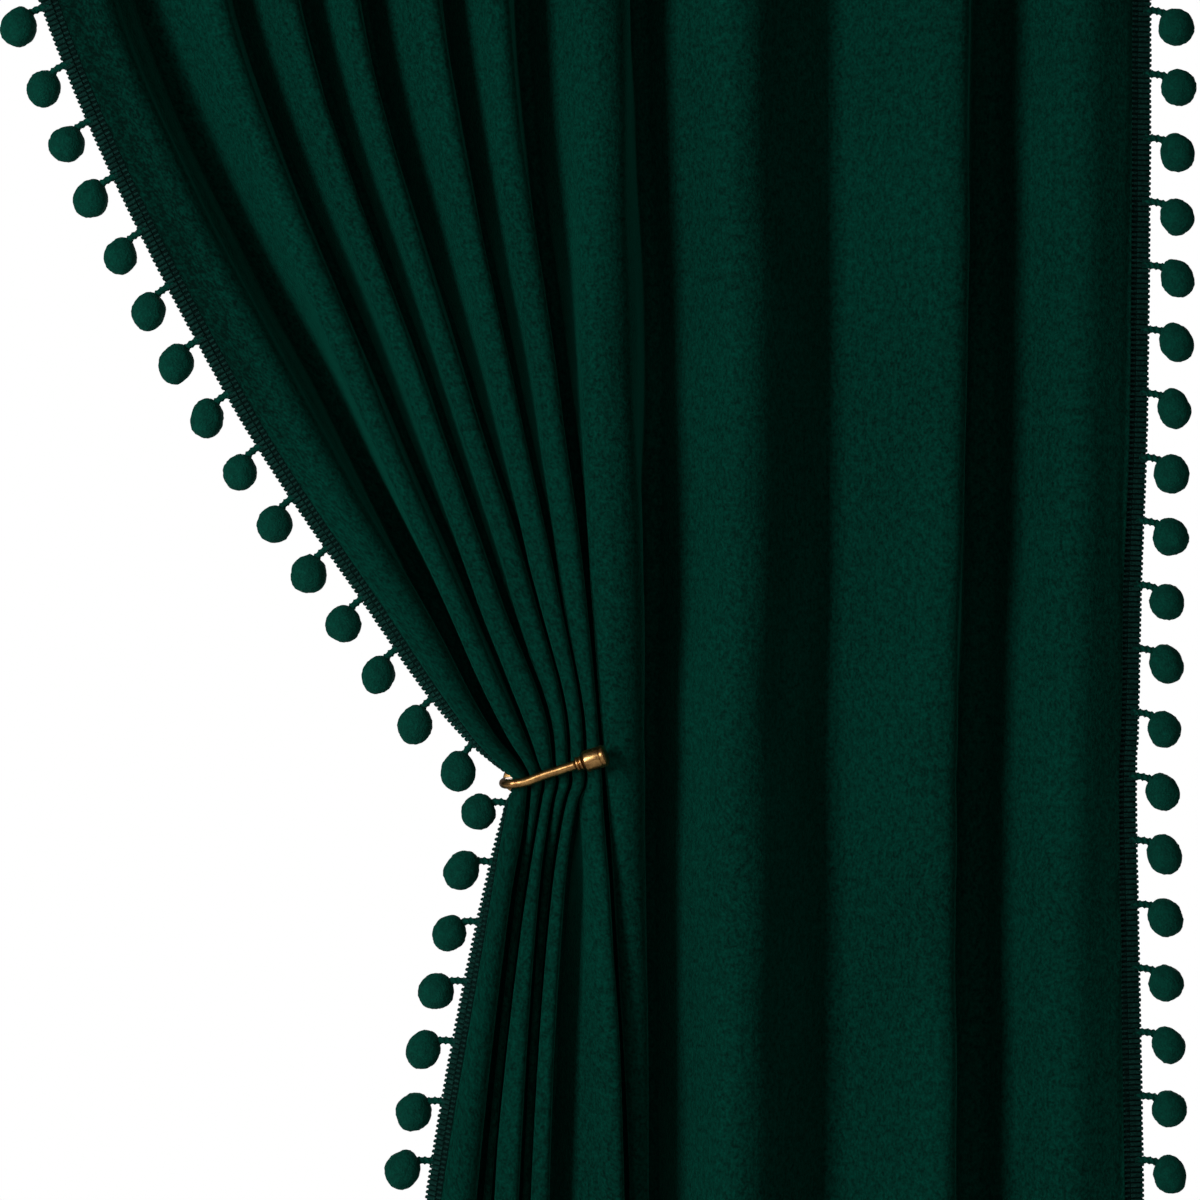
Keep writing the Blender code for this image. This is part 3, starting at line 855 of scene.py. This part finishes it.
def yarn_finish(name, light, dark, tree):
    made, nodes, shader = new_material(name, light)
    place = nodes.add("ShaderNodeTexCoord").outputs["Object"]
    masks = [(grain(nodes, tree, place, kind), kind) for kind in (YARN_ENDS, YARN_LUMPS)]
    nodes.put(shader, Base_Color=blend_colours(nodes, tone_of(nodes, masks), dark, light))
    nodes.put(shader, Roughness=0.95, Specular_IOR_Level=0.05, Sheen_Weight=0.12, Sheen_Roughness=0.5)
    nodes.put(shader, Sheen_Tint=(0.02, 0.35, 0.25, 1.0))
    fine_relief(nodes, shader, masks[0][0], strength=0.6, distance=0.0006)
    return made


def brass_finish(settings, tree):
    made, nodes, shader = new_material("antique_brass", settings.bright[:])
    place = nodes.add("ShaderNodeTexCoord").outputs["Object"]
    strokes = grain(nodes, tree, place, BRASS_STROKES)
    tarnish = grain(nodes, tree, place, BRASS_TARNISH)
    rough = nodes.plus(nodes.times(strokes, BRASS_STROKES.share), BRASS_ROUGHNESS)
    nodes.put(shader, Base_Color=blend_colours(nodes, tarnish, settings.patina[:], settings.bright[:]))
    nodes.put(shader, Roughness=rough, Metallic=1.0)
    fine_relief(nodes, shader, strokes, strength=0.12, distance=0.0001)
    return made


FINISHES = {}


def finishes():
    """The materials, made once."""
    if not FINISHES:
        settings = bpy.context.scene.velvet_curtain
        tree = stretched_grain()
        FINISHES["velvet"] = velvet_finish(settings.velvet, tree)
        trim = settings.trim
        FINISHES["yarn"] = yarn_finish("pompom_yarn", trim.yarn[:], trim.yarn_dark[:], tree)
        FINISHES["braid"] = yarn_finish("braid_thread", trim.braid[:], trim.braid_dark[:], tree)
        # The tape takes the braid's dark colour all over: painted shade seen in the gaps between the ribs.
        FINISHES["tape"] = yarn_finish("tape_thread", trim.braid_dark[:], trim.braid_dark[:], tree)
        FINISHES["brass"] = brass_finish(settings.holdback, tree)
    return FINISHES


SECTIONS = []


def sections():
    """The level cuts through the cloth, worked out once."""
    if not SECTIONS:
        SECTIONS.extend(cloth_sections())
    return SECTIONS


# Geometry node trees for the braid and the pompoms.


def geometry_tree(name, sizes):
    """A tree that takes points and named sizes. A size is (name, default)."""
    tree = bpy.data.node_groups.new(name, "GeometryNodeTree")
    tree.interface.new_socket(name="Points", in_out="INPUT", socket_type="NodeSocketGeometry")
    tree.interface.new_socket(name="Geometry", in_out="OUTPUT", socket_type="NodeSocketGeometry")
    for label, default in sizes:
        socket = tree.interface.new_socket(name=label, in_out="INPUT", socket_type="NodeSocketFloat")
        socket.default_value = default
    nodes = Nodes(tree)
    return nodes, nodes.add("NodeGroupInput").outputs, nodes.add("NodeGroupOutput").inputs["Geometry"]


def stored(nodes, name):
    """A vector that the points carry."""
    node = nodes.add("GeometryNodeInputNamedAttribute", data_type="FLOAT_VECTOR")
    node.inputs["Name"].default_value = name
    return node.outputs["Attribute"]


def finish_tree(nodes, geometry, finish, out):
    smooth = nodes.first("GeometryNodeSetShadeSmooth", Geometry=geometry)
    nodes.link(nodes.first("GeometryNodeSetMaterial", Geometry=smooth, Material=finish), out)


def placed(nodes, points, instance):
    """Realized copies of an instance on the points, turned and sized as the points say."""
    turned = nodes.first("FunctionNodeEulerToRotation", Euler=stored(nodes, "turn"))
    copies = nodes.first(
        "GeometryNodeInstanceOnPoints",
        Points=points,
        Instance=instance,
        Rotation=turned,
        Scale=stored(nodes, "size"),
    )
    return nodes.first("GeometryNodeRealizeInstances", Geometry=copies)


RIB_RINGS = 7
RIB_SIDES = 8
RIB_BLUNTNESS = 5.0


def rib_tree(finish):
    """Ribs of a braid: round bars with blunt ends, one on each point."""
    nodes, given, out = geometry_tree("braid_ribs", [("Thickness", 0.0024), ("Blunt Ends", 0.45)])
    line = nodes.first("GeometryNodeCurvePrimitiveLine", Start=(-0.5, 0.0, 0.0), End=(0.5, 0.0, 0.0))
    fine = nodes.first("GeometryNodeResampleCurve", Curve=line, Count=RIB_RINGS)
    along = nodes.add("GeometryNodeSplineParameter").outputs["Factor"]
    off_middle = nodes.math("ABSOLUTE", nodes.minus(nodes.times(along, 2.0), 1.0))
    rounding = nodes.minus(1.0, nodes.math("POWER", off_middle, RIB_BLUNTNESS))
    round_end = nodes.math("SQRT", nodes.math("MAXIMUM", rounding, 0.0))
    radius = nodes.math("MAXIMUM", round_end, given["Blunt Ends"])
    thick = nodes.first("GeometryNodeSetCurveRadius", Curve=fine, Radius=radius)
    profile = nodes.first("GeometryNodeCurvePrimitiveCircle", Resolution=RIB_SIDES, Radius=0.5)
    bar = nodes.first("GeometryNodeCurveToMesh", Curve=thick, Profile_Curve=profile, Fill_Caps=True)
    stretch = nodes.first("ShaderNodeCombineXYZ", X=1.0, Y=1.0, Z=given["Thickness"])
    flat = nodes.first("GeometryNodeTransform", Geometry=bar, Scale=stretch)
    finish_tree(nodes, placed(nodes, given["Points"], flat), finish, out)
    return nodes.tree


BALL_SPLITS = 4
PULL_FROM = 0.62
PULL_POWER = 1.6
PULL_SHARE = 0.16
LUMP_SCALE = 95.0
CUT_END_SCALE = 620.0
STEM_RINGS = 14
STEM_SIDES = 8
STEM_FLATNESS = 0.72


def yarn_balls(nodes, given):
    """Balls that are drawn towards their stems, with lumps and cut yarn ends."""
    ball = nodes.first("GeometryNodeMeshIcoSphere", Radius=0.5, Subdivisions=BALL_SPLITS)
    high = nodes.add("ShaderNodeSeparateXYZ")
    nodes.link(nodes.first("GeometryNodeInputPosition"), high.inputs[0])
    near_stem = nodes.math("MAXIMUM", nodes.minus(nodes.times(high.outputs["Z"], 2.0), PULL_FROM), 0.0)
    rise = nodes.times(nodes.math("POWER", near_stem, PULL_POWER), PULL_SHARE)
    lift = nodes.first("ShaderNodeCombineXYZ", Z=rise)
    pulled = nodes.first("GeometryNodeSetPosition", Geometry=ball, Offset=lift)
    balls = placed(nodes, given["Points"], pulled)
    seeds = nodes.first("ShaderNodeCombineXYZ", X=given["Seed"])
    place = nodes.vector("ADD", nodes.first("GeometryNodeInputPosition"), seeds)
    heights = []
    for scale, amount in ((LUMP_SCALE, given["Lumps"]), (CUT_END_SCALE, given["Cut Ends"])):
        noise = nodes.add("ShaderNodeTexNoise", noise_dimensions="3D")
        nodes.put(noise, Vector=place, Scale=scale, Detail=2.0)
        centred = nodes.minus(noise.outputs["Fac"], 0.5)
        heights.append(nodes.times(nodes.times(centred, 2.0), amount))
    outwards = nodes.scaled(nodes.first("GeometryNodeInputNormal"), nodes.plus(*heights))
    return nodes.first("GeometryNodeSetPosition", Geometry=balls, Offset=outwards)


def bent_stems(nodes, given):
    """Oval cords, each on an arch from its start over its bend to its end, twisted on the way."""
    line = nodes.first("GeometryNodeCurvePrimitiveLine")
    fine = nodes.first("GeometryNodeResampleCurve", Curve=line, Count=STEM_RINGS)
    lines = nodes.first("GeometryNodeInstanceOnPoints", Points=given["Points"], Instance=fine)
    real = nodes.first("GeometryNodeRealizeInstances", Geometry=lines)
    t = nodes.add("GeometryNodeSplineParameter").outputs["Factor"]
    rest = nodes.minus(1.0, t)
    first = nodes.scaled(stored(nodes, "start"), nodes.times(rest, rest))
    second = nodes.scaled(stored(nodes, "bend"), nodes.times(nodes.times(t, rest), 2.0))
    third = nodes.scaled(stored(nodes, "end"), nodes.times(t, t))
    path = nodes.vector("ADD", nodes.vector("ADD", first, second), third)
    arch = nodes.first("GeometryNodeSetPosition", Geometry=real, Position=path)
    angle = nodes.times(nodes.times(t, given["Twist"]), math.tau)
    turns = nodes.first("GeometryNodeSetCurveTilt", Curve=arch, Tilt=angle)
    circle = nodes.first("GeometryNodeCurvePrimitiveCircle", Resolution=STEM_SIDES, Radius=0.5)
    wide = given["Stem Thickness"]
    flat = nodes.first("ShaderNodeCombineXYZ", X=wide, Y=nodes.times(wide, STEM_FLATNESS), Z=1.0)
    oval = nodes.first("GeometryNodeTransform", Geometry=circle, Scale=flat)
    return nodes.first("GeometryNodeCurveToMesh", Curve=turns, Profile_Curve=oval, Fill_Caps=True)


def pompom_tree(finish):
    """Balls of cut yarn, one on each point, each on a twisted stem that bends down from the braid."""
    nodes, given, out = geometry_tree(
        "pompoms_on_stems",
        [("Stem Thickness", 0.004), ("Twist", 3.0), ("Lumps", 0.0013), ("Cut Ends", 0.0007), ("Seed", 3.0)],
    )
    both = nodes.add("GeometryNodeJoinGeometry")
    nodes.link(yarn_balls(nodes, given), both.inputs[0])
    nodes.link(bent_stems(nodes, given), both.inputs[0])
    finish_tree(nodes, both.outputs[0], finish, out)
    return nodes.tree


POINT_VECTORS = ("turn", "size", "start", "bend", "end")


def grown(name, points, vectors, tree, sizes):
    """A plain mesh grown by a tree on points that carry named vectors."""
    mesh = bpy.data.meshes.new(name)
    mesh.from_pydata([tuple(point) for point in points], [], [])
    for label, values in vectors.items():
        layer = mesh.attributes.new(label, "FLOAT_VECTOR", "POINT")
        layer.data.foreach_set("vector", np.array(values, np.float32).ravel())
    obj = new_object(name, mesh)
    modifier = obj.modifiers.new(tree.name, "NODES")
    modifier.node_group = tree
    for label, value in sizes.items():
        named_input(tree, modifier, label, value)
    made = plain_mesh(obj)
    for layer in [a for a in made.data.attributes if a.name in POINT_VECTORS]:
        made.data.attributes.remove(layer)
    return made


def euler(x_axis, y_axis, z_axis):
    return tuple(Matrix((x_axis, y_axis, z_axis)).transposed().to_euler())


def braid_frames(side, lengths, places):
    """(outer and inner points, across, along, outward normal) of a braid at lengths from the top edge."""
    rows = hung(sections(), braid_columns(side, places), lengths)
    across = unit(rows[:, -1] - rows[:, 0])
    along = unit(np.gradient(rows[:, 0], axis=0))
    front = unit(np.cross(along, across)) * (1 if side < 0 else -1)
    across = unit(np.cross(front, along)) * -side
    return rows, across, along, front


# The braid's two rows: where a bar starts and ends from the edge, its share of the spacing, and its height.
Bars = namedtuple("Bars", "start end share height")
BRAID_BARS = (
    Bars(0.0002, 0.0084, 0.70, 1.25),
    Bars(0.0092, BRAID_WIDTH + PARTING + 0.0002, 0.50, 0.75),
)

# How unevenly the bars are made, as the least and the most share of their size.
BAR_WIDTHS = (0.96, 1.04)
BAR_THICKNESSES = (0.94, 1.04)
BAR_HEIGHTS = (0.9, 1.1)


def braid(trim, settings, tree):
    """The braid of one edge: ribs across it, with a row of small loops on its inner side."""
    count = int(PANEL_DROP / settings.rib_pitch)
    lengths = (np.arange(count) + 0.5) * PANEL_DROP / count
    points, turns, sizes = [], [], []
    dice = random.Random(trim.seed)
    for bars in BRAID_BARS:
        rows, across, along, front = braid_frames(trim.side, lengths, (bars.start, bars.end))
        for k in range(count):
            points.append((rows[k, 0] + rows[k, -1]) / 2)
            turns.append(euler(across[k], along[k], front[k]))
            wide = np.dot(rows[k, -1] - rows[k, 0], across[k]) * dice.uniform(*BAR_WIDTHS)
            thick = settings.rib_pitch * bars.share * dice.uniform(*BAR_THICKNESSES)
            sizes.append((wide, thick, bars.height * dice.uniform(*BAR_HEIGHTS)))
    vectors = {"turn": turns, "size": sizes}
    return grown("braid_" + trim.name, points, vectors, tree, {"Thickness": settings.rib_height})


def tape(trim):
    """The thin woven tape that a braid's ribs are sewn to, with its edges turned under them."""
    lengths = np.linspace(0.0, PANEL_DROP, TAPE_ROWS)
    places = np.linspace(TAPE_INSET, BRAID_WIDTH + PARTING, TAPE_COLUMNS)
    rows, _, _, front = braid_frames(trim.side, lengths, places)
    rows = rows - front[:, None] * TAPE_BACK
    if trim.side > 0:
        rows = rows[:, ::-1]
    runs = np.broadcast_to(places, rows.shape[:2])
    strip = grid_object("tape_" + trim.name, rows, runs, lengths, finishes()["tape"])
    return thickened(strip, TAPE_THICKNESS)


def pompom_places(trim):
    """The lengths down an edge at which its pompoms hang."""
    places = []
    at = trim.first
    while at < PANEL_DROP - ROOT_SPAN:
        places.append(at)
        at += trim.pitch
        if places[-1] < trim.hooked <= at:
            at += trim.gathered
    return np.array(places)


def pompoms(trim, settings, tree):
    """The pompoms of one edge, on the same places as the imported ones."""
    dice = random.Random(trim.seed)
    lengths = pompom_places(trim)
    edges = [
        hung(sections(), braid_columns(trim.side, (0.0,)), lengths + shift)[:, 0]
        for shift in (-ROOT_SPAN, 0.0, ROOT_SPAN)
    ]
    points, vectors = [], {label: [] for label in POINT_VECTORS}
    for before, root, after in zip(*edges):
        along = Vector(after - before)
        along.y = 0.0
        along.normalize()
        root = Vector(root)
        outward = Vector((along.z, 0.0, -along.x)) * -trim.side
        hang = (outward + Vector((0.0, 0.0, -STEM_SAG))).normalized()
        hang = (hang + Vector((0.0, dice.uniform(-SWING, SWING), dice.uniform(-SWING, SWING)))).normalized()
        centre = root + hang * STEM_REACH
        wide, deep, tall = [1 + dice.uniform(-POMPOM_UNEVEN, POMPOM_UNEVEN) for _ in range(3)]
        lean, spin = dice.uniform(-POMPOM_LEAN, POMPOM_LEAN), dice.uniform(0, math.tau)
        bend = root + outward * STEM_REACH * BEND_SHARE + Vector((0.0, 0.0, BEND_RISE))
        up = (bend - centre).normalized()
        up = (up + Vector((0.0, 0.0, UPRIGHT))).normalized()
        turn = up.to_track_quat("Z", "Y").to_matrix() @ Matrix.Rotation(spin, 3, "Z")
        turn = turn @ Matrix.Rotation(lean, 3, "X")
        points.append(centre)
        vectors["turn"].append(tuple(turn.to_euler()))
        width, height = settings.pompom_width, settings.pompom_height
        vectors["size"].append((width * wide, width * deep, height * tall))
        vectors["start"].append(root - outward * STEM_ROOT)
        vectors["bend"].append(bend)
        vectors["end"].append(centre + up * STEM_END)
    sizes = {"Stem Thickness": settings.stem_width}
    return grown("pompoms_" + trim.name, points, vectors, tree, sizes)


# The hook.


def rod_points():
    """A smooth curve through the rod's stops, with equal steps between them."""
    stops = [Vector((s.x * MM, s.y * MM, -s.below * MM)) for s in ROD_ROUTE]
    stops[0].y = WALL_Y - PLATE_THICKNESS - SEAT_GAP
    padded = [2 * stops[0] - stops[1], *stops, 2 * stops[-1] - stops[-2]]
    points = []
    for a, b, c, d in zip(padded, padded[1:], padded[2:], padded[3:]):
        for i in range(ROD_STEPS):
            t = i / ROD_STEPS
            even = 2 * b + (c - a) * t + (2 * a - 5 * b + 4 * c - d) * t * t
            points.append((even + (3 * b - a - 3 * c + d) * t ** 3) / 2)
    return points + [stops[-1]]


def swept_rod(name, points, radius, finish):
    """A round rod on a path of points, closed at both ends."""
    verts, faces = [], []
    direction = (points[1] - points[0]).normalized()
    side = direction.orthogonal().normalized()
    for k, point in enumerate(points):
        before, after = points[max(k - 1, 0)], points[min(k + 1, len(points) - 1)]
        turned_to = (after - before).normalized()
        side = (side - turned_to * side.dot(turned_to)).normalized()
        other = turned_to.cross(side)
        for i in range(ROD_SIDES):
            angle = math.tau * i / ROD_SIDES
            verts.append(point + (side * math.cos(angle) + other * math.sin(angle)) * radius)
    for k in range(len(points) - 1):
        for i in range(ROD_SIDES):
            j = (i + 1) % ROD_SIDES
            low, high = k * ROD_SIDES, (k + 1) * ROD_SIDES
            faces.append((low + i, low + j, high + j, high + i))
    faces.append(tuple(reversed(range(ROD_SIDES))))
    faces.append(tuple(range((len(points) - 1) * ROD_SIDES, len(points) * ROD_SIDES)))
    return smooth_object(name, verts, faces, finish)


def turned_piece(name, profile, start, direction, finish):
    """A piece turned on a lathe: a profile of (radius, height) from its outer end down to its seat."""
    place = Matrix.Translation(start) @ direction.to_track_quat("Z", "Y").to_matrix().to_4x4()
    verts, rings = [], []
    for radius, height in profile:
        if radius == 0.0:
            rings.append([len(verts)] * TURN_STEPS)
            verts.append(place @ Vector((0.0, 0.0, height)))
            continue
        rings.append(list(range(len(verts), len(verts) + TURN_STEPS)))
        for i in range(TURN_STEPS):
            angle = math.tau * i / TURN_STEPS
            verts.append(place @ Vector((radius * math.cos(angle), radius * math.sin(angle), height)))
    faces = []
    for upper, lower in zip(rings, rings[1:]):
        for i in range(TURN_STEPS):
            j = (i + 1) % TURN_STEPS
            corners = [upper[i], lower[i], lower[j], upper[j]]
            faces.append(tuple(dict.fromkeys(corners)))
    made = smooth_object(name, verts, faces, finish)
    made.data.set_sharp_from_angle(angle=math.radians(SHARP_ANGLE))
    return made


def rounded(outline, radius, steps=3):
    """An outline in metres, with its corners rounded by this radius."""
    profile = [(across * MM, height * MM) for across, height in outline]
    made = [profile[0]]
    for before, corner, after in zip(profile, profile[1:], profile[2:]):
        corner, before, after = (np.array(p, float) for p in (corner, before, after))
        first = min(radius, np.linalg.norm(before - corner) / 2)
        last = min(radius, np.linalg.norm(after - corner) / 2)
        start = corner + unit(before - corner) * first
        end = corner + unit(after - corner) * last
        for i in range(steps + 1):
            t = i / steps
            point = start * (1 - t) ** 2 + corner * 2 * t * (1 - t) + end * t * t
            made.append((float(point[0]), float(point[1])))
    return made + [profile[-1]]


# The turned pieces' outlines, from the outer end down to the seat: (radius, height) in millimetres.
COLLAR_OUTLINE = (
    (0, 5.0), (3.5, 5.0), (4.7, 4.2), (4.7, 3.2), (3.5, 2.6), (4.7, 1.9), (4.7, 0.8), (3.5, 0), (0, 0)
)
CAP_OUTLINE = (
    (0, 15.0), (5.4, 14.7), (6.8, 13.6), (6.8, 11.6), (6.3, 11.2), (6.8, 10.8), (6.8, 1.4), (5.4, 0), (0, 0)
)
PLATE_OUTLINE = ((0, 5.0), (4.0, 5.0), (9.0, 2.5), (9.0, 0), (0, 0))


# Operators, one for each piece or group of like pieces.


class CURTAIN_OT_panel(Operator):
    """Hang the velvet panel in its folds and creases"""

    bl_idname = "curtain.panel"
    bl_label = "Velvet Panel"

    def execute(self, context):
        settings = context.scene.velvet_curtain.velvet
        lengths = row_lengths()
        rows = hung(sections(), cloth_columns, lengths)
        steps = np.linalg.norm(np.diff(rows, axis=1), axis=2)
        start = BRAID_WIDTH + PARTING
        runs = start + np.concatenate([np.zeros((len(rows), 1)), np.cumsum(steps, axis=1)], axis=1)
        stray = wobble_relief(runs, lengths, settings.wobble) - crease_relief(runs, lengths)
        push = stray * freedom(rows) - seam_relief(runs)
        rows = rows + surface_normals(rows) * push[:, :, None]
        cloth = grid_object("velvet_cloth", rows, runs, lengths, finishes()["velvet"])
        cloth = thickened(cloth, settings.thickness)
        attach(cloth, "root")
        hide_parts("velvet_panel")
        return {"FINISHED"}


class CURTAIN_OT_trim(Operator):
    """Make the ribbed braid and the pompoms of both edges"""

    bl_idname = "curtain.trim"
    bl_label = "Braid and Pompoms"

    def execute(self, context):
        settings = context.scene.velvet_curtain.trim
        ribs = rib_tree(finishes()["braid"])
        balls = pompom_tree(finishes()["yarn"])
        for trim in TRIMS:
            for piece in (tape(trim), braid(trim, settings, ribs), pompoms(trim, settings, balls)):
                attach(piece, "root")
                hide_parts("pompom_trim_" + trim.name)
        return {"FINISHED"}


class CURTAIN_OT_declare(Operator):
    bl_idname = "curtain.declare"
    bl_label = "Cloth Facts"

    def execute(self, context):
        return {"FINISHED"}


class CURTAIN_OT_holdback(Operator):
    """Make the brass holdback hook with its collar, cap and wall plate"""

    bl_idname = "curtain.holdback"
    bl_label = "Holdback Hook"

    def execute(self, context):
        settings = context.scene.velvet_curtain.holdback
        brass = finishes()["brass"]
        points = rod_points()
        direction = (points[-1] - points[-2]).normalized()
        collar_at = points[-1] + direction * SEAT_GAP
        cap_at = collar_at + direction * (COLLAR_LENGTH + SEAT_GAP)
        seat = Vector((points[0].x, WALL_Y, points[0].z))
        out = Vector((0.0, -1.0, 0.0))
        collar = rounded(COLLAR_OUTLINE, EDGE_ROUND)
        cap = rounded(CAP_OUTLINE, EDGE_ROUND)
        plate = rounded(PLATE_OUTLINE, PLATE_ROUND)
        made = {
            "holdback_arm": swept_rod("holdback_rod", points, settings.rod_diameter / 2, brass),
            "holdback_collar": turned_piece("holdback_rings", collar, collar_at, direction, brass),
            "holdback_cap": turned_piece("holdback_end_cap", cap, cap_at, direction, brass),
            "holdback_wall_plate": turned_piece("holdback_plate", plate, seat, out, brass),
        }
        for node, piece in made.items():
            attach(piece, "root")
            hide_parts(node)
        return {"FINISHED"}


def area_light(lamp, energy):
    light = bpy.data.lights.new(lamp.name, "AREA")
    light.shape = "RECTANGLE"
    light.size, light.size_y = lamp.size
    light.energy = energy
    obj = new_object(lamp.name, light)
    obj.location = lamp.place
    obj.rotation_euler = (Vector(lamp.aim) - Vector(lamp.place)).to_track_quat("-Z", "Y").to_euler()


LENS = 135.0
SENSOR = 36.0
PICTURE_WIDTH = 0.7464
PICTURE_MIDDLE = (0.0554, -0.7731)
PICTURE_PLANE = -0.012
FLOOR_DROP = 0.040
FLOOR_HALF = 2.2
AMBIENT = 0.09
WHITE = (1.0, 1.0, 1.0, 1.0)

Lamp = namedtuple("Lamp", "name place aim size")
LAMPS = (
    Lamp("key", (-1.9, -2.3, -0.35), (0.0, 0.0, -0.8), (0.9, 1.4)),
    Lamp("fill", (0.06, -2.6, -0.77), (0.06, 0.0, -0.77), (0.5, 0.9)),
    Lamp("back", (0.9, 2.6, -0.2), (0.0, 0.0, -0.8), (1.6, 1.6)),
)


class CURTAIN_OT_stage(Operator):
    """Set up the pale floor, the soft lights and the camera"""

    bl_idname = "curtain.stage"
    bl_label = "Stage and Camera"

    def execute(self, context):
        settings = context.scene.velvet_curtain.stage
        scene = context.scene
        scene.view_settings.view_transform = "Standard"
        half = FLOOR_HALF
        low = CAD_BOX[0].z - FLOOR_DROP
        mesh = bpy.data.meshes.new("floor")
        corners = [(-half, -half, low), (half, -half, low), (half, half, low), (-half, half, low)]
        mesh.from_pydata(corners, [], [(0, 1, 2, 3)])
        made, nodes, shader = new_material("pale_floor", settings.floor[:])
        nodes.put(shader, Base_Color=(*settings.floor, 1.0), Roughness=0.9)
        new_object("floor", mesh, made)

        world = bpy.data.worlds.new("studio")
        world.use_nodes = True
        nodes = Nodes(world.node_tree)
        shown = world.node_tree.nodes["Background"]
        nodes.put(shown, Color=WHITE, Strength=1.0)
        soft = nodes.add("ShaderNodeBackground")
        nodes.put(soft, Color=WHITE, Strength=AMBIENT)
        mix = nodes.add("ShaderNodeMixShader")
        nodes.link(nodes.add("ShaderNodeLightPath").outputs["Is Camera Ray"], mix.inputs[0])
        nodes.link(soft.outputs[0], mix.inputs[1])
        nodes.link(shown.outputs[0], mix.inputs[2])
        nodes.link(mix.outputs[0], world.node_tree.nodes["World Output"].inputs["Surface"])
        scene.world = world

        for lamp in LAMPS:
            area_light(lamp, getattr(settings, lamp.name))

        camera = bpy.data.cameras.new("camera")
        camera.lens = LENS
        camera.sensor_width = SENSOR
        view = new_object("camera", camera)
        away = PICTURE_WIDTH * LENS / SENSOR
        view.location = (PICTURE_MIDDLE[0], PICTURE_PLANE - away, PICTURE_MIDDLE[1])
        view.rotation_euler = (math.pi / 2, 0.0, 0.0)
        scene.camera = view
        return {"FINISHED"}


class CurtainSettings(PropertyGroup):
    velvet: PointerProperty(type=VelvetSettings, name="Velvet", description="The panel's cloth")
    trim: PointerProperty(type=TrimSettings, name="Trim", description="The braids and the pompoms")
    holdback: PointerProperty(type=HoldbackSettings, name="Holdback", description="The brass hook")
    stage: PointerProperty(type=StageSettings, name="Stage", description="The floor and the lights")


OPERATORS = (CURTAIN_OT_panel, CURTAIN_OT_trim, CURTAIN_OT_holdback, CURTAIN_OT_declare, CURTAIN_OT_stage)


class CURTAIN_PT_pieces(Panel):
    """The curtain's pieces, in the order in which they are made"""

    bl_idname = "CURTAIN_PT_pieces"
    bl_label = "Velvet Curtain"
    bl_space_type = "VIEW_3D"
    bl_region_type = "UI"
    bl_category = "Curtain"

    def draw(self, context):
        for operator in OPERATORS:
            self.layout.operator(operator.bl_idname)
        for name in ("velvet", "trim", "holdback", "stage"):
            box = self.layout.box()
            group = getattr(context.scene.velvet_curtain, name)
            for key in group.bl_rna.properties.keys():
                if key not in ("rna_type", "name"):
                    box.prop(group, key)


CLASSES = (
    VelvetSettings,
    TrimSettings,
    HoldbackSettings,
    StageSettings,
    CurtainSettings,
    *OPERATORS,
    CURTAIN_PT_pieces,
)


def register():
    for made in CLASSES:
        bpy.utils.register_class(made)
    bpy.types.Scene.velvet_curtain = PointerProperty(type=CurtainSettings)


def unregister():
    del bpy.types.Scene.velvet_curtain
    for made in reversed(CLASSES):
        bpy.utils.unregister_class(made)


def main():
    register()
    bpy.ops.curtain.panel()
    bpy.ops.curtain.trim()
    bpy.ops.curtain.holdback()
    bpy.ops.curtain.declare()
    bpy.ops.curtain.stage()


if __name__ == "__main__":
    main()
